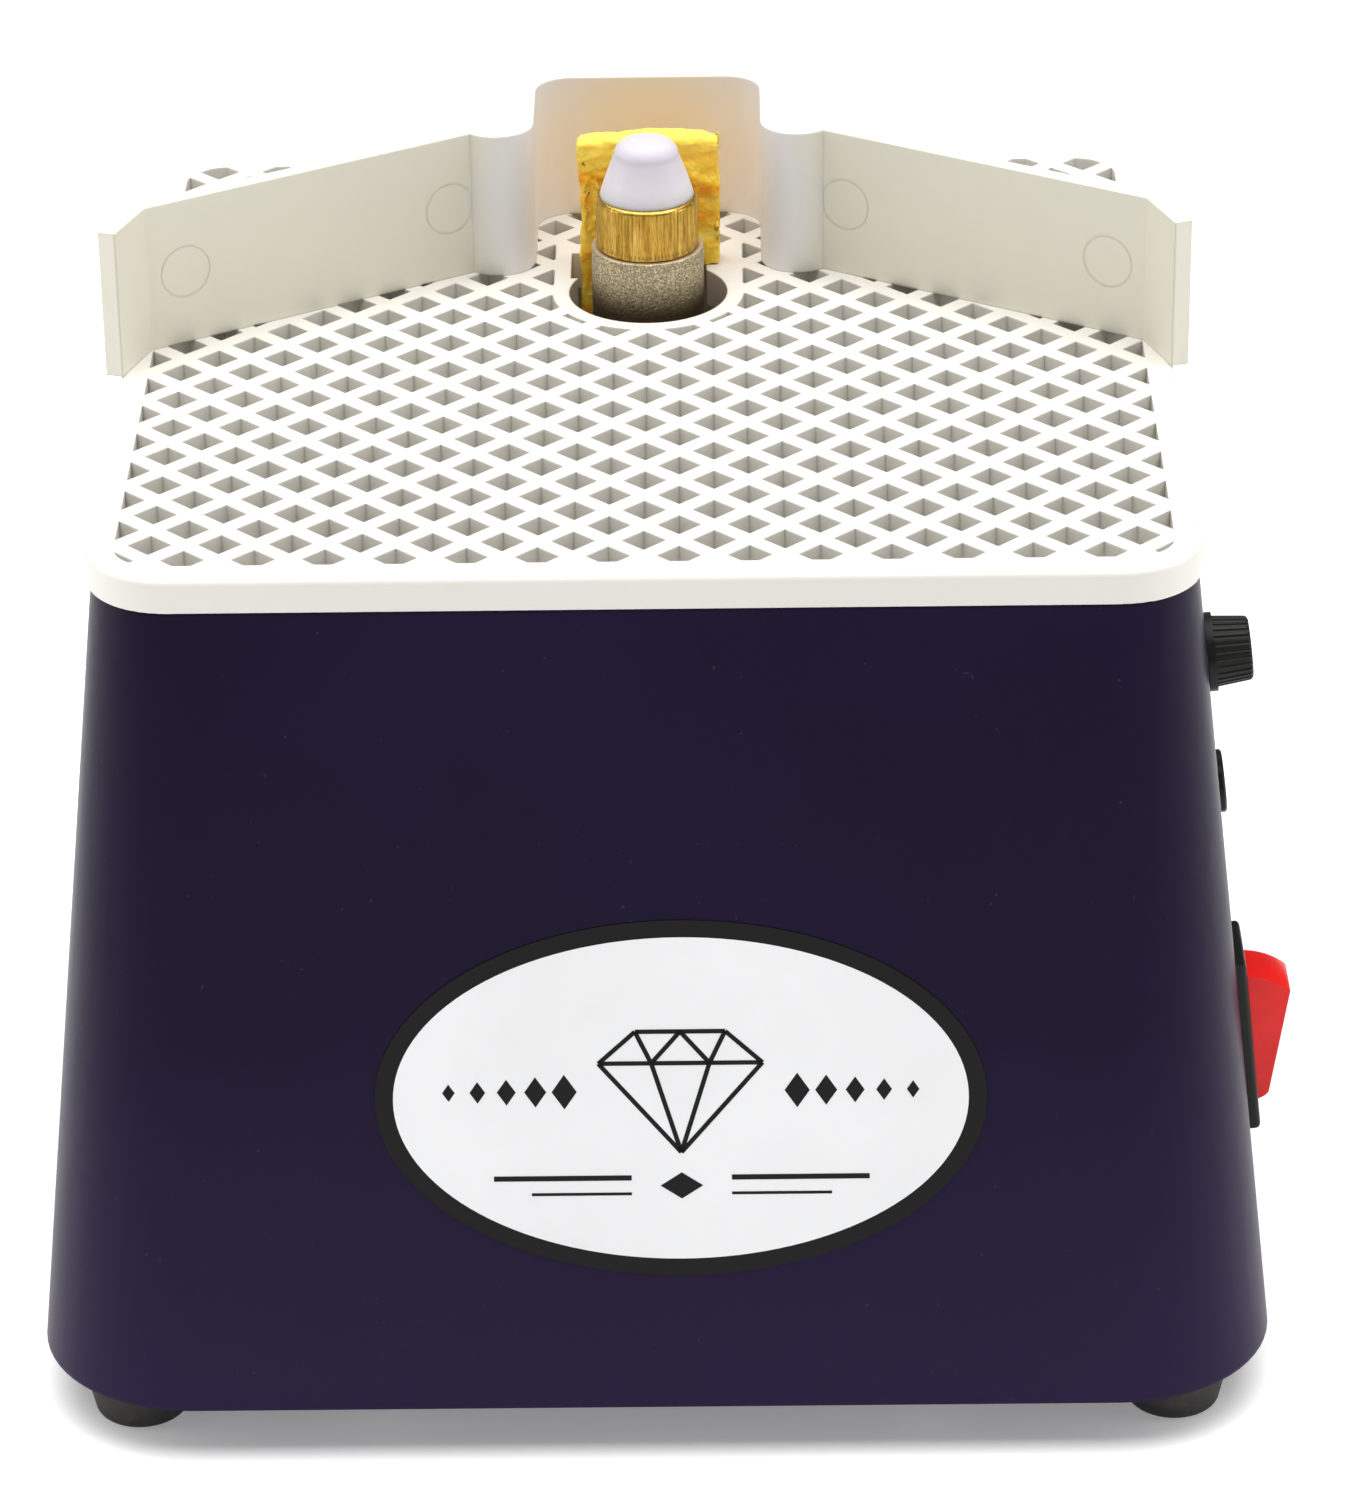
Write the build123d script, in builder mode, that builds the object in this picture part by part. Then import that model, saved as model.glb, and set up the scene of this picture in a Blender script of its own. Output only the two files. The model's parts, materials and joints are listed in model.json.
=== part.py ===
from build123d import *

import os
from math import atan, cos, degrees, hypot, radians, sin

# Bench-top glass grinder. Millimetres, +Z up, +Y towards the back. The origin lies on the bench,
# at the middle of the housing's footprint.

# ---------------------------------------------------------------- driving dimensions

UP = (Align.CENTER, Align.CENTER, Align.MIN)
DOWN = (Align.CENTER, Align.CENTER, Align.MAX)

FOOT_HEIGHT = 9.5
HOUSING_HEIGHT = 136.65
SKIRT_HEIGHT = 5.7
HOUSING_BOTTOM = FOOT_HEIGHT
HOUSING_TOP = HOUSING_BOTTOM + HOUSING_HEIGHT
TABLE_Z = HOUSING_TOP + SKIRT_HEIGHT

WALL = 3.0
FIT_GAP = 0.6
TOP_HALF_X, TOP_HALF_Y, TOP_RADIUS = 86.4, 86.1, 14.0
BOTTOM_HALF_X, BOTTOM_HALF_Y, BOTTOM_RADIUS = 101.3, 101.6, 26.0

# The spindle stands behind the middle of the table.
SPINDLE_Y = 24.45
SHAFT_RADIUS = 3.97
SHAFT_FIT = 0.03

# Removable top
TABLE_HALF_X, TABLE_HALF_Y, TABLE_RADIUS = 87.0, 86.2, 13.5
DECK_THICKNESS = 6.5
LOCATOR_HALF_X, LOCATOR_HALF_Y = TOP_HALF_X - WALL - FIT_GAP, TOP_HALF_Y - WALL - FIT_GAP
LOCATOR_RADIUS = TOP_RADIUS - WALL - FIT_GAP
LOCATOR_DEPTH, LOCATOR_WALL = 5.0, 2.0
GRID_HALF_X, GRID_FRONT, GRID_BACK, GRID_RADIUS = 82.4, -80.85, 82.65, 7.0
CELL_STEP, CELL_SIDE = 5.49, 4.85
CELL_ORIGIN_Y = SPINDLE_Y - 97.8
SMALLEST_CELL = 3.0
BIT_HOLE_RADIUS = 13.45
HOLE_BORDER = 2.8
SLOT_LEFT, SLOT_RIGHT, SLOT_FRONT, SLOT_BACK = -13.3, 9.9, 6.0, 17.0

# Water tray
LEDGE_TOP, LEDGE_THICKNESS = HOUSING_TOP - 8.5, 3.0
LEDGE_HALF_X, LEDGE_HALF_Y = 76.0, 77.8
TRAY_FLANGE = 2.0
TRAY_WALL = 2.0
TRAY_BOTTOM = 112.0
CHIMNEY_BORE, CHIMNEY_WALL, CHIMNEY_TOP = 10.8, 2.4, 134.0

# Splash guard
GUARD_HEIGHT = 25.4
PEG_RADIUS, PEG_DEPTH = 1.5, 4.0

# Grinding head
BAND_RADIUS, BAND_TOP, BAND_BOTTOM = 9.525, 8.8, -10.2
CORE_RADIUS = 8.0
COLLAR_RADIUS, COLLAR_BOTTOM, COLLAR_TOP = 8.6, 9.0, 17.8
CAP_RADIUS, CAP_SHOULDER_RADIUS, CAP_SHOULDER, CAP_TOP = 7.4, 5.3, 26.3, 27.9

# Motor
CAN_RADIUS, CAN_WALL, CAN_BOTTOM, CAN_TOP = 26.0, 2.0, 36.0, 104.0
NOSE_RADIUS, NOSE_TOP = 8.5, 108.5
END_CAP_BOTTOM = 28.0
BUSH_RADIUS = 6.0
ROTOR_RADIUS, ROTOR_BOTTOM, ROTOR_TOP, ROTOR_SLOTS = 19.5, 52.0, 88.0, 12
BRACKET_THICKNESS = 2.5
BRACKET_HALF_X, BRACKET_HALF_Y = 86.0, 30.0
SHELF_INNER_X, SHELF_OUTER_X, SHELF_HEIGHT = 76.0, 90.0, 12.0

# Controls on the right-hand wall
CONTROLS_Y = SPINDLE_Y - 86.0
SWITCH_Z, KNOB_Z, INLET_Z = 56.75, 125.45, 102.25
BEZEL_WIDTH, BEZEL_LENGTH, BEZEL_PROUD = 14.8, 31.0, 2.0
SWITCH_WIDTH, SWITCH_LENGTH, SWITCH_DEPTH = 12.6, 27.2, 22.0
ROCKER_WIDTH, ROCKER_RADIUS, ROCKER_PIVOT, ROCKER_GAP, ROCKER_TIP_ANGLE = 9.0, 11.6, 0.5, 0.4, 46.0
KNOB_RADIUS, KNOB_END_RADIUS, KNOB_LENGTH, KNOB_FLUTES, FLUTE_RADIUS = 5.85, 5.1, 7.4, 30, 0.42
KNOB_FLANGE_RADIUS, KNOB_FLANGE = 6.35, 1.3
INLET_RADIUS, INLET_PROUD = 5.1, 1.3
KNOB_HOLE_RADIUS, INLET_HOLE_RADIUS, SWITCH_HOLE_GAP = 3.6, 4.1, 0.5

# Label on the front wall
LABEL_X, LABEL_Z, LABEL_WIDTH, LABEL_HEIGHT, LABEL_THICKNESS = 4.7, 64.0, 97.3, 61.6, 0.3

# Base plate, feet and electronics
PLATE_THICKNESS = 2.5
PLATE_TOP = HOUSING_BOTTOM + PLATE_THICKNESS
FOOT_X, FOOT_Y, FOOT_TOP_RADIUS, FOOT_BOTTOM_RADIUS = 85.1, 85.3, 9.5, 7.5
BOSS_RADIUS, BOSS_TOP, PILOT_RADIUS = 5.0, 40.0, 1.5
BOSS_SPOTS = [(x, y) for x in (-45, 45) for y in (-92.5, 92.5)] + [(-92, 0), (92, 0)]
BOARD_X, BOARD_Y, BOARD_WIDTH, BOARD_DEPTH, BOARD_THICKNESS = 40.0, -65.0, 62.0, 44.0, 1.6
STANDOFF_HEIGHT = 6.0
BOARD_BOTTOM = PLATE_TOP + STANDOFF_HEIGHT
BOARD_TOP = BOARD_BOTTOM + BOARD_THICKNESS
WIRE_RADIUS = 0.9

# Shank radius and length of each kind of screw, and the hole that a shank goes through
PLATE_SCREW, FOOT_SCREW, BOARD_SCREW = (1.4, 12.5), (1.6, 10.0), (1.4, 6.0)
BRACKET_SCREW, MOTOR_SCREW = (1.4, 11.0), (1.5, 6.1)
SCREW_HOLE_RADIUS = 1.9
FOOT_RECESS = 5.0

FEET = [(x, y) for x in (-FOOT_X, FOOT_X) for y in (-FOOT_Y, FOOT_Y)]
BOARD_HOLES = [
    (BOARD_X + x, BOARD_Y + y)
    for x in (4 - BOARD_WIDTH / 2, BOARD_WIDTH / 2 - 4)
    for y in (4 - BOARD_DEPTH / 2, BOARD_DEPTH / 2 - 4)
]
BRACKET_HOLES = [(x, SPINDLE_Y + y) for x in (-81, 81) for y in (-22, 22)]
MOTOR_HOLES = [(-17, SPINDLE_Y), (17, SPINDLE_Y)]


def half_x(z):
    """Half the housing's outer width at height z."""
    return TOP_HALF_X + (BOTTOM_HALF_X - TOP_HALF_X) * (HOUSING_TOP - z) / HOUSING_HEIGHT


def half_y(z):
    """Half the housing's outer depth at height z."""
    return TOP_HALF_Y + (BOTTOM_HALF_Y - TOP_HALF_Y) * (HOUSING_TOP - z) / HOUSING_HEIGHT


def level(z):
    """A horizontal plane centred on the housing."""
    return Plane.XY.offset(z)


def spindle_level(z):
    """A horizontal plane centred on the spindle."""
    return Plane(origin=(0, SPINDLE_Y, z))


def side_plane(z, depth=0.0):
    """On the right wall at height z: x to the back, y up the slope, z outwards."""
    plane = Plane(
        origin=(half_x(z), CONTROLS_Y, z),
        x_dir=(0, 1, 0),
        z_dir=(HOUSING_HEIGHT, 0, BOTTOM_HALF_X - TOP_HALF_X),
    )
    return plane.offset(depth)


def upright_plane(y, z):
    """A vertical plane that faces the front: x to the right, y upwards."""
    return Plane(origin=(0, y, z), x_dir=(1, 0, 0), z_dir=(0, -1, 0))


def front_plane(x, z):
    """On the front wall: x to the right, y up the slope, z outwards."""
    return Plane(
        origin=(x, -half_y(z), z),
        x_dir=(1, 0, 0),
        z_dir=(0, -HOUSING_HEIGHT, BOTTOM_HALF_Y - TOP_HALF_Y),
    )


def cross_screws(spots, seat, radius, length, facing=1):
    """Screws whose heads stand on the level seat and face up (1) or down (-1), with a cross slot."""
    head_radius, head_height = 2 * radius, 1.3 * radius
    slot_length, slot_width, slot_depth = 2.5 * radius, 0.5 * radius, 0.65 * radius
    inwards, outwards = (DOWN, UP) if facing > 0 else (UP, DOWN)
    with BuildPart() as group:
        with Locations(*[(x, y, seat) for x, y in spots]):
            Cylinder(radius, length, align=inwards)
            Cylinder(head_radius, head_height, align=outwards)
            with Locations((0, 0, facing * head_height)):
                Box(slot_length, slot_width, slot_depth, align=inwards, mode=Mode.SUBTRACT)
                Box(slot_width, slot_length, slot_depth, align=inwards, mode=Mode.SUBTRACT)
    return group


os.makedirs("parts", exist_ok=True)

# ---------------------------------------------------------------- housing and base

with BuildPart() as housing:
    with BuildSketch(level(HOUSING_BOTTOM)):
        RectangleRounded(2 * BOTTOM_HALF_X, 2 * BOTTOM_HALF_Y, BOTTOM_RADIUS)
    with BuildSketch(level(HOUSING_TOP)):
        RectangleRounded(2 * TOP_HALF_X, 2 * TOP_HALF_Y, TOP_RADIUS)
    loft()
    with BuildSketch(level(HOUSING_BOTTOM)):
        RectangleRounded(2 * (BOTTOM_HALF_X - WALL), 2 * (BOTTOM_HALF_Y - WALL), BOTTOM_RADIUS - WALL)
    with BuildSketch(level(HOUSING_TOP)):
        RectangleRounded(2 * (TOP_HALF_X - WALL), 2 * (TOP_HALF_Y - WALL), TOP_RADIUS - WALL)
    loft(mode=Mode.SUBTRACT)
    # ledge that the tray's flange rests on
    with BuildSketch(level(LEDGE_TOP)):
        RectangleRounded(2 * (TOP_HALF_X - 1), 2 * (TOP_HALF_Y - 1), TOP_RADIUS - 1)
        RectangleRounded(2 * LEDGE_HALF_X, 2 * LEDGE_HALF_Y, 10, mode=Mode.SUBTRACT)
    extrude(amount=-LEDGE_THICKNESS)
    # wall shelves that carry the motor bracket
    for side in (-1, 1):
        with Locations((side * (SHELF_INNER_X + SHELF_OUTER_X) / 2, SPINDLE_Y, CAN_TOP)):
            Box(SHELF_OUTER_X - SHELF_INNER_X, 2 * BRACKET_HALF_Y, SHELF_HEIGHT, align=DOWN)
    with Locations(*[(x, y, CAN_TOP) for x, y in BRACKET_HOLES]):
        Cylinder(PILOT_RADIUS, SHELF_HEIGHT - 2, align=DOWN, mode=Mode.SUBTRACT)
    # screw bosses for the base plate
    with Locations(*[(x, y, PLATE_TOP) for x, y in BOSS_SPOTS]):
        Cylinder(BOSS_RADIUS, BOSS_TOP - PLATE_TOP, align=UP)
        Cylinder(PILOT_RADIUS, 14, align=UP, mode=Mode.SUBTRACT)
    # holes for the switch, the speed control and the power inlet
    with BuildSketch(side_plane(SWITCH_Z)):
        Rectangle(SWITCH_WIDTH + SWITCH_HOLE_GAP, SWITCH_LENGTH + SWITCH_HOLE_GAP)
    with BuildSketch(side_plane(KNOB_Z)):
        Circle(KNOB_HOLE_RADIUS)
    with BuildSketch(side_plane(INLET_Z)):
        Circle(INLET_HOLE_RADIUS)
    extrude(amount=2 * WALL, both=True, mode=Mode.SUBTRACT)
housing.part.label = "housing"
export_step(housing.part, "parts/housing.step")

with BuildPart() as base_plate:
    with BuildSketch(level(HOUSING_BOTTOM)):
        RectangleRounded(
            2 * (BOTTOM_HALF_X - WALL - FIT_GAP),
            2 * (BOTTOM_HALF_Y - WALL - FIT_GAP),
            BOTTOM_RADIUS - WALL - 1,
        )
        # vent slots under the motor
        with GridLocations(0, 9, 1, 5):
            with Locations((0, SPINDLE_Y)):
                SlotOverall(44, 4, mode=Mode.SUBTRACT)
        with Locations(*BOSS_SPOTS, *FEET):
            Circle(SCREW_HOLE_RADIUS, mode=Mode.SUBTRACT)
    extrude(amount=PLATE_THICKNESS)
base_plate.part.label = "base_plate"
export_step(base_plate.part, "parts/base_plate.step")

base_plate_screws = cross_screws(BOSS_SPOTS, HOUSING_BOTTOM, *PLATE_SCREW, facing=-1)
base_plate_screws.part.label = "base_plate_screws"
export_step(base_plate_screws.part, "parts/base_plate_screws.step")

with BuildPart() as rubber_feet:
    with Locations(*[(x, y, 0) for x, y in FEET]):
        Cone(FOOT_BOTTOM_RADIUS, FOOT_TOP_RADIUS, FOOT_HEIGHT, align=UP)
    fillet(rubber_feet.edges().group_by(Axis.Z)[0].filter_by(GeomType.CIRCLE), 1.4)
    with Locations(*[(x, y, 0) for x, y in FEET]):
        Cylinder(3.6, FOOT_RECESS, align=UP, mode=Mode.SUBTRACT)
        Cylinder(SCREW_HOLE_RADIUS, FOOT_HEIGHT, align=UP, mode=Mode.SUBTRACT)
rubber_feet.part.label = "rubber_feet"
export_step(rubber_feet.part, "parts/rubber_feet.step")

foot_screws = cross_screws(FEET, FOOT_RECESS, *FOOT_SCREW, facing=-1)
foot_screws.part.label = "foot_screws"
export_step(foot_screws.part, "parts/foot_screws.step")

with BuildPart() as front_label:
    with BuildSketch(front_plane(LABEL_X, LABEL_Z)):
        Ellipse(LABEL_WIDTH / 2, LABEL_HEIGHT / 2)
    extrude(amount=LABEL_THICKNESS)
front_label.part.label = "front_label"
export_step(front_label.part, "parts/front_label.step")

# ---------------------------------------------------------------- water tray

with BuildPart() as water_tray:
    with BuildSketch(level(LEDGE_TOP)):
        RectangleRounded(
            2 * (TOP_HALF_X - WALL - FIT_GAP), 2 * (TOP_HALF_Y - WALL - FIT_GAP), LOCATOR_RADIUS
        )
    extrude(amount=TRAY_FLANGE)
    with BuildSketch(level(LEDGE_TOP)):
        RectangleRounded(2 * (LEDGE_HALF_X - 1), 2 * (LEDGE_HALF_Y - 1), 9)
    with BuildSketch(level(TRAY_BOTTOM)):
        RectangleRounded(2 * (LEDGE_HALF_X - 4), 2 * (LEDGE_HALF_Y - 4), 8)
    loft()
    with BuildSketch(level(LEDGE_TOP + TRAY_FLANGE)):
        RectangleRounded(
            2 * (LEDGE_HALF_X - 1 - TRAY_WALL), 2 * (LEDGE_HALF_Y - 1 - TRAY_WALL), 9 - TRAY_WALL
        )
    with BuildSketch(level(TRAY_BOTTOM + TRAY_WALL)):
        RectangleRounded(
            2 * (LEDGE_HALF_X - 4 - TRAY_WALL), 2 * (LEDGE_HALF_Y - 4 - TRAY_WALL), 8 - TRAY_WALL
        )
    loft(mode=Mode.SUBTRACT)
    # chimney that keeps the water away from the shaft
    with BuildSketch(spindle_level(TRAY_BOTTOM)):
        Circle(CHIMNEY_BORE + CHIMNEY_WALL)
    extrude(amount=CHIMNEY_TOP - TRAY_BOTTOM)
    with BuildSketch(spindle_level(TRAY_BOTTOM)):
        Circle(CHIMNEY_BORE)
    extrude(amount=CHIMNEY_TOP - TRAY_BOTTOM, mode=Mode.SUBTRACT)
water_tray.part.label = "water_tray"
export_step(water_tray.part, "parts/water_tray.step")

# ---------------------------------------------------------------- work grid

# Square cells stand on their corners, and the lattice is measured from CELL_ORIGIN_Y.
cell_centres = [
    (CELL_STEP * column, CELL_ORIGIN_Y + CELL_STEP * row)
    for column in range(-15, 16)
    for row in range(-2, 31)
    if (column + row) % 2 == 0
]

with BuildSketch(level(TABLE_Z)) as cells:
    with Locations(*cell_centres):
        Rectangle(CELL_SIDE, CELL_SIDE, rotation=45)
    with Locations((0, (GRID_FRONT + GRID_BACK) / 2)):
        RectangleRounded(2 * GRID_HALF_X, GRID_BACK - GRID_FRONT, GRID_RADIUS, mode=Mode.INTERSECT)
    with Locations((0, SPINDLE_Y)):
        Circle(BIT_HOLE_RADIUS + HOLE_BORDER, mode=Mode.SUBTRACT)
    with Locations((0, SPINDLE_Y + SLOT_BACK / 2 + 2)):
        Rectangle(-2 * SLOT_LEFT + 2 * HOLE_BORDER, SLOT_BACK + 4, mode=Mode.SUBTRACT)

with BuildPart() as work_grid:
    with BuildSketch(level(HOUSING_TOP)):
        RectangleRounded(2 * TABLE_HALF_X, 2 * TABLE_HALF_Y, TABLE_RADIUS)
    extrude(amount=SKIRT_HEIGHT)
    fillet(work_grid.faces().sort_by(Axis.Z)[-1].edges(), 1.3)
    fillet(work_grid.faces().sort_by(Axis.Z)[0].edges(), 0.3)
    # the deck goes a little below the skirt, with a locating rib round it
    with BuildSketch(level(HOUSING_TOP)):
        RectangleRounded(2 * LOCATOR_HALF_X, 2 * LOCATOR_HALF_Y, LOCATOR_RADIUS)
    extrude(amount=SKIRT_HEIGHT - DECK_THICKNESS)
    with BuildSketch(level(HOUSING_TOP)):
        RectangleRounded(2 * LOCATOR_HALF_X, 2 * LOCATOR_HALF_Y, LOCATOR_RADIUS)
        RectangleRounded(
            2 * (LOCATOR_HALF_X - LOCATOR_WALL),
            2 * (LOCATOR_HALF_Y - LOCATOR_WALL),
            LOCATOR_RADIUS - LOCATOR_WALL,
            mode=Mode.SUBTRACT,
        )
    extrude(amount=-LOCATOR_DEPTH)
    # round hole for the bit, with a slot behind it for the sponge
    with BuildSketch(spindle_level(TABLE_Z)):
        Circle(BIT_HOLE_RADIUS)
        with Locations(((SLOT_LEFT + SLOT_RIGHT) / 2, (SLOT_FRONT + SLOT_BACK) / 2)):
            Rectangle(SLOT_RIGHT - SLOT_LEFT, SLOT_BACK - SLOT_FRONT)
    extrude(amount=-DECK_THICKNESS, mode=Mode.SUBTRACT)
    whole_cells = [cell for cell in cells.sketch.faces() if cell.area > SMALLEST_CELL]
    extrude(whole_cells, amount=-DECK_THICKNESS, mode=Mode.SUBTRACT)
work_grid.part.label = "work_grid"
export_step(work_grid.part, "parts/work_grid.step")

# ---------------------------------------------------------------- splash guard

# Plan of the guard's right half, measured from the spindle.
ALCOVE_X, ALCOVE_BACK, ALCOVE_RADIUS = 19.3, 34.7, 6.0
NOSE_START, NOSE_FRONT, WING_START = (ALCOVE_X, 13.56), (25.56, 7.3), (29.9, 9.0)
WING_BEND, TIP_FRONT, TIP_BACK, BEND_BACK = (82.5, -22.7), (86.5, -33.5), (89.3, -32.5), (84.9, -20.7)
BLOCK_FRONT, BLOCK_SIDE, BLOCK_BACK = (31.3, 11.7), (25.4, 38.2), (14.5, 44.5)
PEG_SPOTS = [(7 * CELL_STEP, 19 * CELL_STEP - 97.8), (12 * CELL_STEP, 16 * CELL_STEP - 97.8)]
POCKET_DEPTH = 23.0
POCKET = [
    (0, 37.2), (14.2, 37.2), (21.8, 29.6), (21.8, 14.2), (25.5, 10.6),
    (28.4, 13.2), (23.2, 36.7), (13.9, 42.1), (0, 42.1), (0, 37.2),
]
EJECTOR_MARKS, MARK_RADIUS, MARK_LINE, MARK_DEPTH = (4.4, 54.6), 4.6, 0.25, 0.08

wing_run = hypot(WING_BEND[0] - WING_START[0], WING_BEND[1] - WING_START[1])
wing_dir = ((WING_BEND[0] - WING_START[0]) / wing_run, (WING_BEND[1] - WING_START[1]) / wing_run, 0)
wing_face = Plane(
    origin=(WING_START[0], SPINDLE_Y + WING_START[1], TABLE_Z),
    x_dir=wing_dir,
    z_dir=(wing_dir[1], -wing_dir[0], 0),
)

with BuildPart() as splash_guard:
    with BuildSketch(spindle_level(TABLE_Z)):
        with BuildLine():
            Line((0, ALCOVE_BACK), (ALCOVE_X - ALCOVE_RADIUS, ALCOVE_BACK))
            RadiusArc(
                (ALCOVE_X - ALCOVE_RADIUS, ALCOVE_BACK),
                (ALCOVE_X, ALCOVE_BACK - ALCOVE_RADIUS),
                ALCOVE_RADIUS,
            )
            Line((ALCOVE_X, ALCOVE_BACK - ALCOVE_RADIUS), NOSE_START)
            ThreePointArc(NOSE_START, NOSE_FRONT, WING_START)
            Polyline(
                WING_START, WING_BEND, TIP_FRONT, TIP_BACK, BEND_BACK,
                BLOCK_FRONT, BLOCK_SIDE, BLOCK_BACK, (0, BLOCK_BACK[1]), (0, ALCOVE_BACK),
            )
        make_face()
    extrude(amount=GUARD_HEIGHT)
    # hollow underneath
    with BuildSketch(spindle_level(TABLE_Z)):
        with BuildLine():
            Polyline(*POCKET)
        make_face()
    extrude(amount=POCKET_DEPTH, mode=Mode.SUBTRACT)
    # shallow round ejector marks in the wing
    with BuildSketch(wing_face):
        with Locations(*[(run, GUARD_HEIGHT / 2) for run in EJECTOR_MARKS]):
            Circle(MARK_RADIUS)
            Circle(MARK_RADIUS - MARK_LINE, mode=Mode.SUBTRACT)
    extrude(amount=-MARK_DEPTH, mode=Mode.SUBTRACT)
    # pegs that drop into cells of the grid
    with BuildSketch(spindle_level(TABLE_Z - PEG_DEPTH)):
        with Locations(*PEG_SPOTS):
            Circle(PEG_RADIUS)
    extrude(amount=PEG_DEPTH + 5)
    mirror(about=Plane.YZ)
splash_guard.part.label = "splash_guard"
export_step(splash_guard.part, "parts/splash_guard.step")

# ---------------------------------------------------------------- sponge

# A block behind the bit, a neck through the slot and a tail that hangs in the water.
SPONGE_LEFT, SPONGE_RIGHT, SPONGE_FRONT, SPONGE_BACK, SPONGE_TOP = -12.5, 12.3, 10.9, 16.2, 23.6
NECK_RIGHT, NECK_BOTTOM, TAIL_RIGHT, TAIL_BOTTOM = 9.2, -13.0, -8.9, -32.0

with BuildPart() as sponge:
    with BuildSketch(upright_plane(SPINDLE_Y + SPONGE_FRONT, TABLE_Z)):
        with BuildLine():
            Polyline(
                (SPONGE_LEFT, SPONGE_TOP),
                (SPONGE_RIGHT, SPONGE_TOP),
                (SPONGE_RIGHT, 0),
                (NECK_RIGHT, 0),
                (NECK_RIGHT, NECK_BOTTOM),
                (TAIL_RIGHT, NECK_BOTTOM),
                (TAIL_RIGHT, TAIL_BOTTOM),
                (SPONGE_LEFT, TAIL_BOTTOM),
                (SPONGE_LEFT, SPONGE_TOP),
            )
        make_face()
    extrude(amount=SPONGE_FRONT - SPONGE_BACK)
    fillet(sponge.edges().filter_by(Axis.X).group_by(Axis.Z)[-1], 1.6)
sponge.part.label = "sponge"
export_step(sponge.part, "parts/sponge.step")

# ---------------------------------------------------------------- motor

with BuildPart() as motor_bracket:
    with BuildSketch(spindle_level(CAN_TOP)):
        Rectangle(2 * BRACKET_HALF_X, 2 * BRACKET_HALF_Y - 4)
    extrude(amount=BRACKET_THICKNESS)
    fillet(motor_bracket.edges().filter_by(Axis.Z), 4)
    with BuildSketch(level(CAN_TOP)):
        with Locations(*BRACKET_HOLES, *MOTOR_HOLES):
            Circle(SCREW_HOLE_RADIUS)
        with Locations((0, SPINDLE_Y)):
            Circle(NOSE_RADIUS + 0.15)
    extrude(amount=BRACKET_THICKNESS, mode=Mode.SUBTRACT)
motor_bracket.part.label = "motor_bracket"
export_step(motor_bracket.part, "parts/motor_bracket.step")

bracket_screws = cross_screws(BRACKET_HOLES, CAN_TOP + BRACKET_THICKNESS, *BRACKET_SCREW)
bracket_screws.part.label = "bracket_screws"
export_step(bracket_screws.part, "parts/bracket_screws.step")

with BuildPart() as motor_can:
    with BuildSketch(spindle_level(CAN_BOTTOM)):
        Circle(CAN_RADIUS)
    extrude(amount=CAN_TOP - CAN_BOTTOM)
    with BuildSketch(spindle_level(CAN_TOP)):
        Circle(NOSE_RADIUS)
    extrude(amount=NOSE_TOP - CAN_TOP)
    with BuildSketch(spindle_level(CAN_BOTTOM)):
        Circle(CAN_RADIUS - CAN_WALL)
    extrude(amount=CAN_TOP - CAN_BOTTOM - CAN_WALL - 2, mode=Mode.SUBTRACT)
    with BuildSketch(spindle_level(NOSE_TOP)):
        Circle(BUSH_RADIUS)
    extrude(amount=-(NOSE_TOP - CAN_TOP + 2 * CAN_WALL), mode=Mode.SUBTRACT)
    with BuildSketch(level(CAN_TOP)):
        with Locations(*MOTOR_HOLES):
            Circle(1.6)
    extrude(amount=-2 * CAN_WALL, mode=Mode.SUBTRACT)
motor_can.part.label = "motor_can"
export_step(motor_can.part, "parts/motor_can.step")

motor_screws = cross_screws(MOTOR_HOLES, CAN_TOP + BRACKET_THICKNESS, *MOTOR_SCREW)
motor_screws.part.label = "motor_screws"
export_step(motor_screws.part, "parts/motor_screws.step")


def bush(bottom, height):
    """A plain bearing bush round the shaft."""
    with BuildPart() as piece:
        with BuildSketch(spindle_level(bottom)):
            Circle(BUSH_RADIUS)
            Circle(SHAFT_RADIUS + SHAFT_FIT, mode=Mode.SUBTRACT)
        extrude(amount=height)
    return piece


upper_bearing = bush(CAN_TOP - 2 * CAN_WALL, NOSE_TOP - CAN_TOP + 2 * CAN_WALL)
upper_bearing.part.label = "upper_bearing"
export_step(upper_bearing.part, "parts/upper_bearing.step")

lower_bearing = bush(END_CAP_BOTTOM + 2, CAN_BOTTOM - END_CAP_BOTTOM - 2)
lower_bearing.part.label = "lower_bearing"
export_step(lower_bearing.part, "parts/lower_bearing.step")

with BuildPart() as motor_end_cap:
    with BuildSketch(spindle_level(END_CAP_BOTTOM + 4)):
        Circle(CAN_RADIUS)
    extrude(amount=CAN_BOTTOM - END_CAP_BOTTOM - 4)
    with BuildSketch(spindle_level(END_CAP_BOTTOM)):
        Circle(BUSH_RADIUS + 3)
    extrude(amount=4)
    with BuildSketch(spindle_level(END_CAP_BOTTOM + 2)):
        Circle(BUSH_RADIUS)
    extrude(amount=CAN_BOTTOM - END_CAP_BOTTOM - 2, mode=Mode.SUBTRACT)
motor_end_cap.part.label = "motor_end_cap"
export_step(motor_end_cap.part, "parts/motor_end_cap.step")

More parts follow.
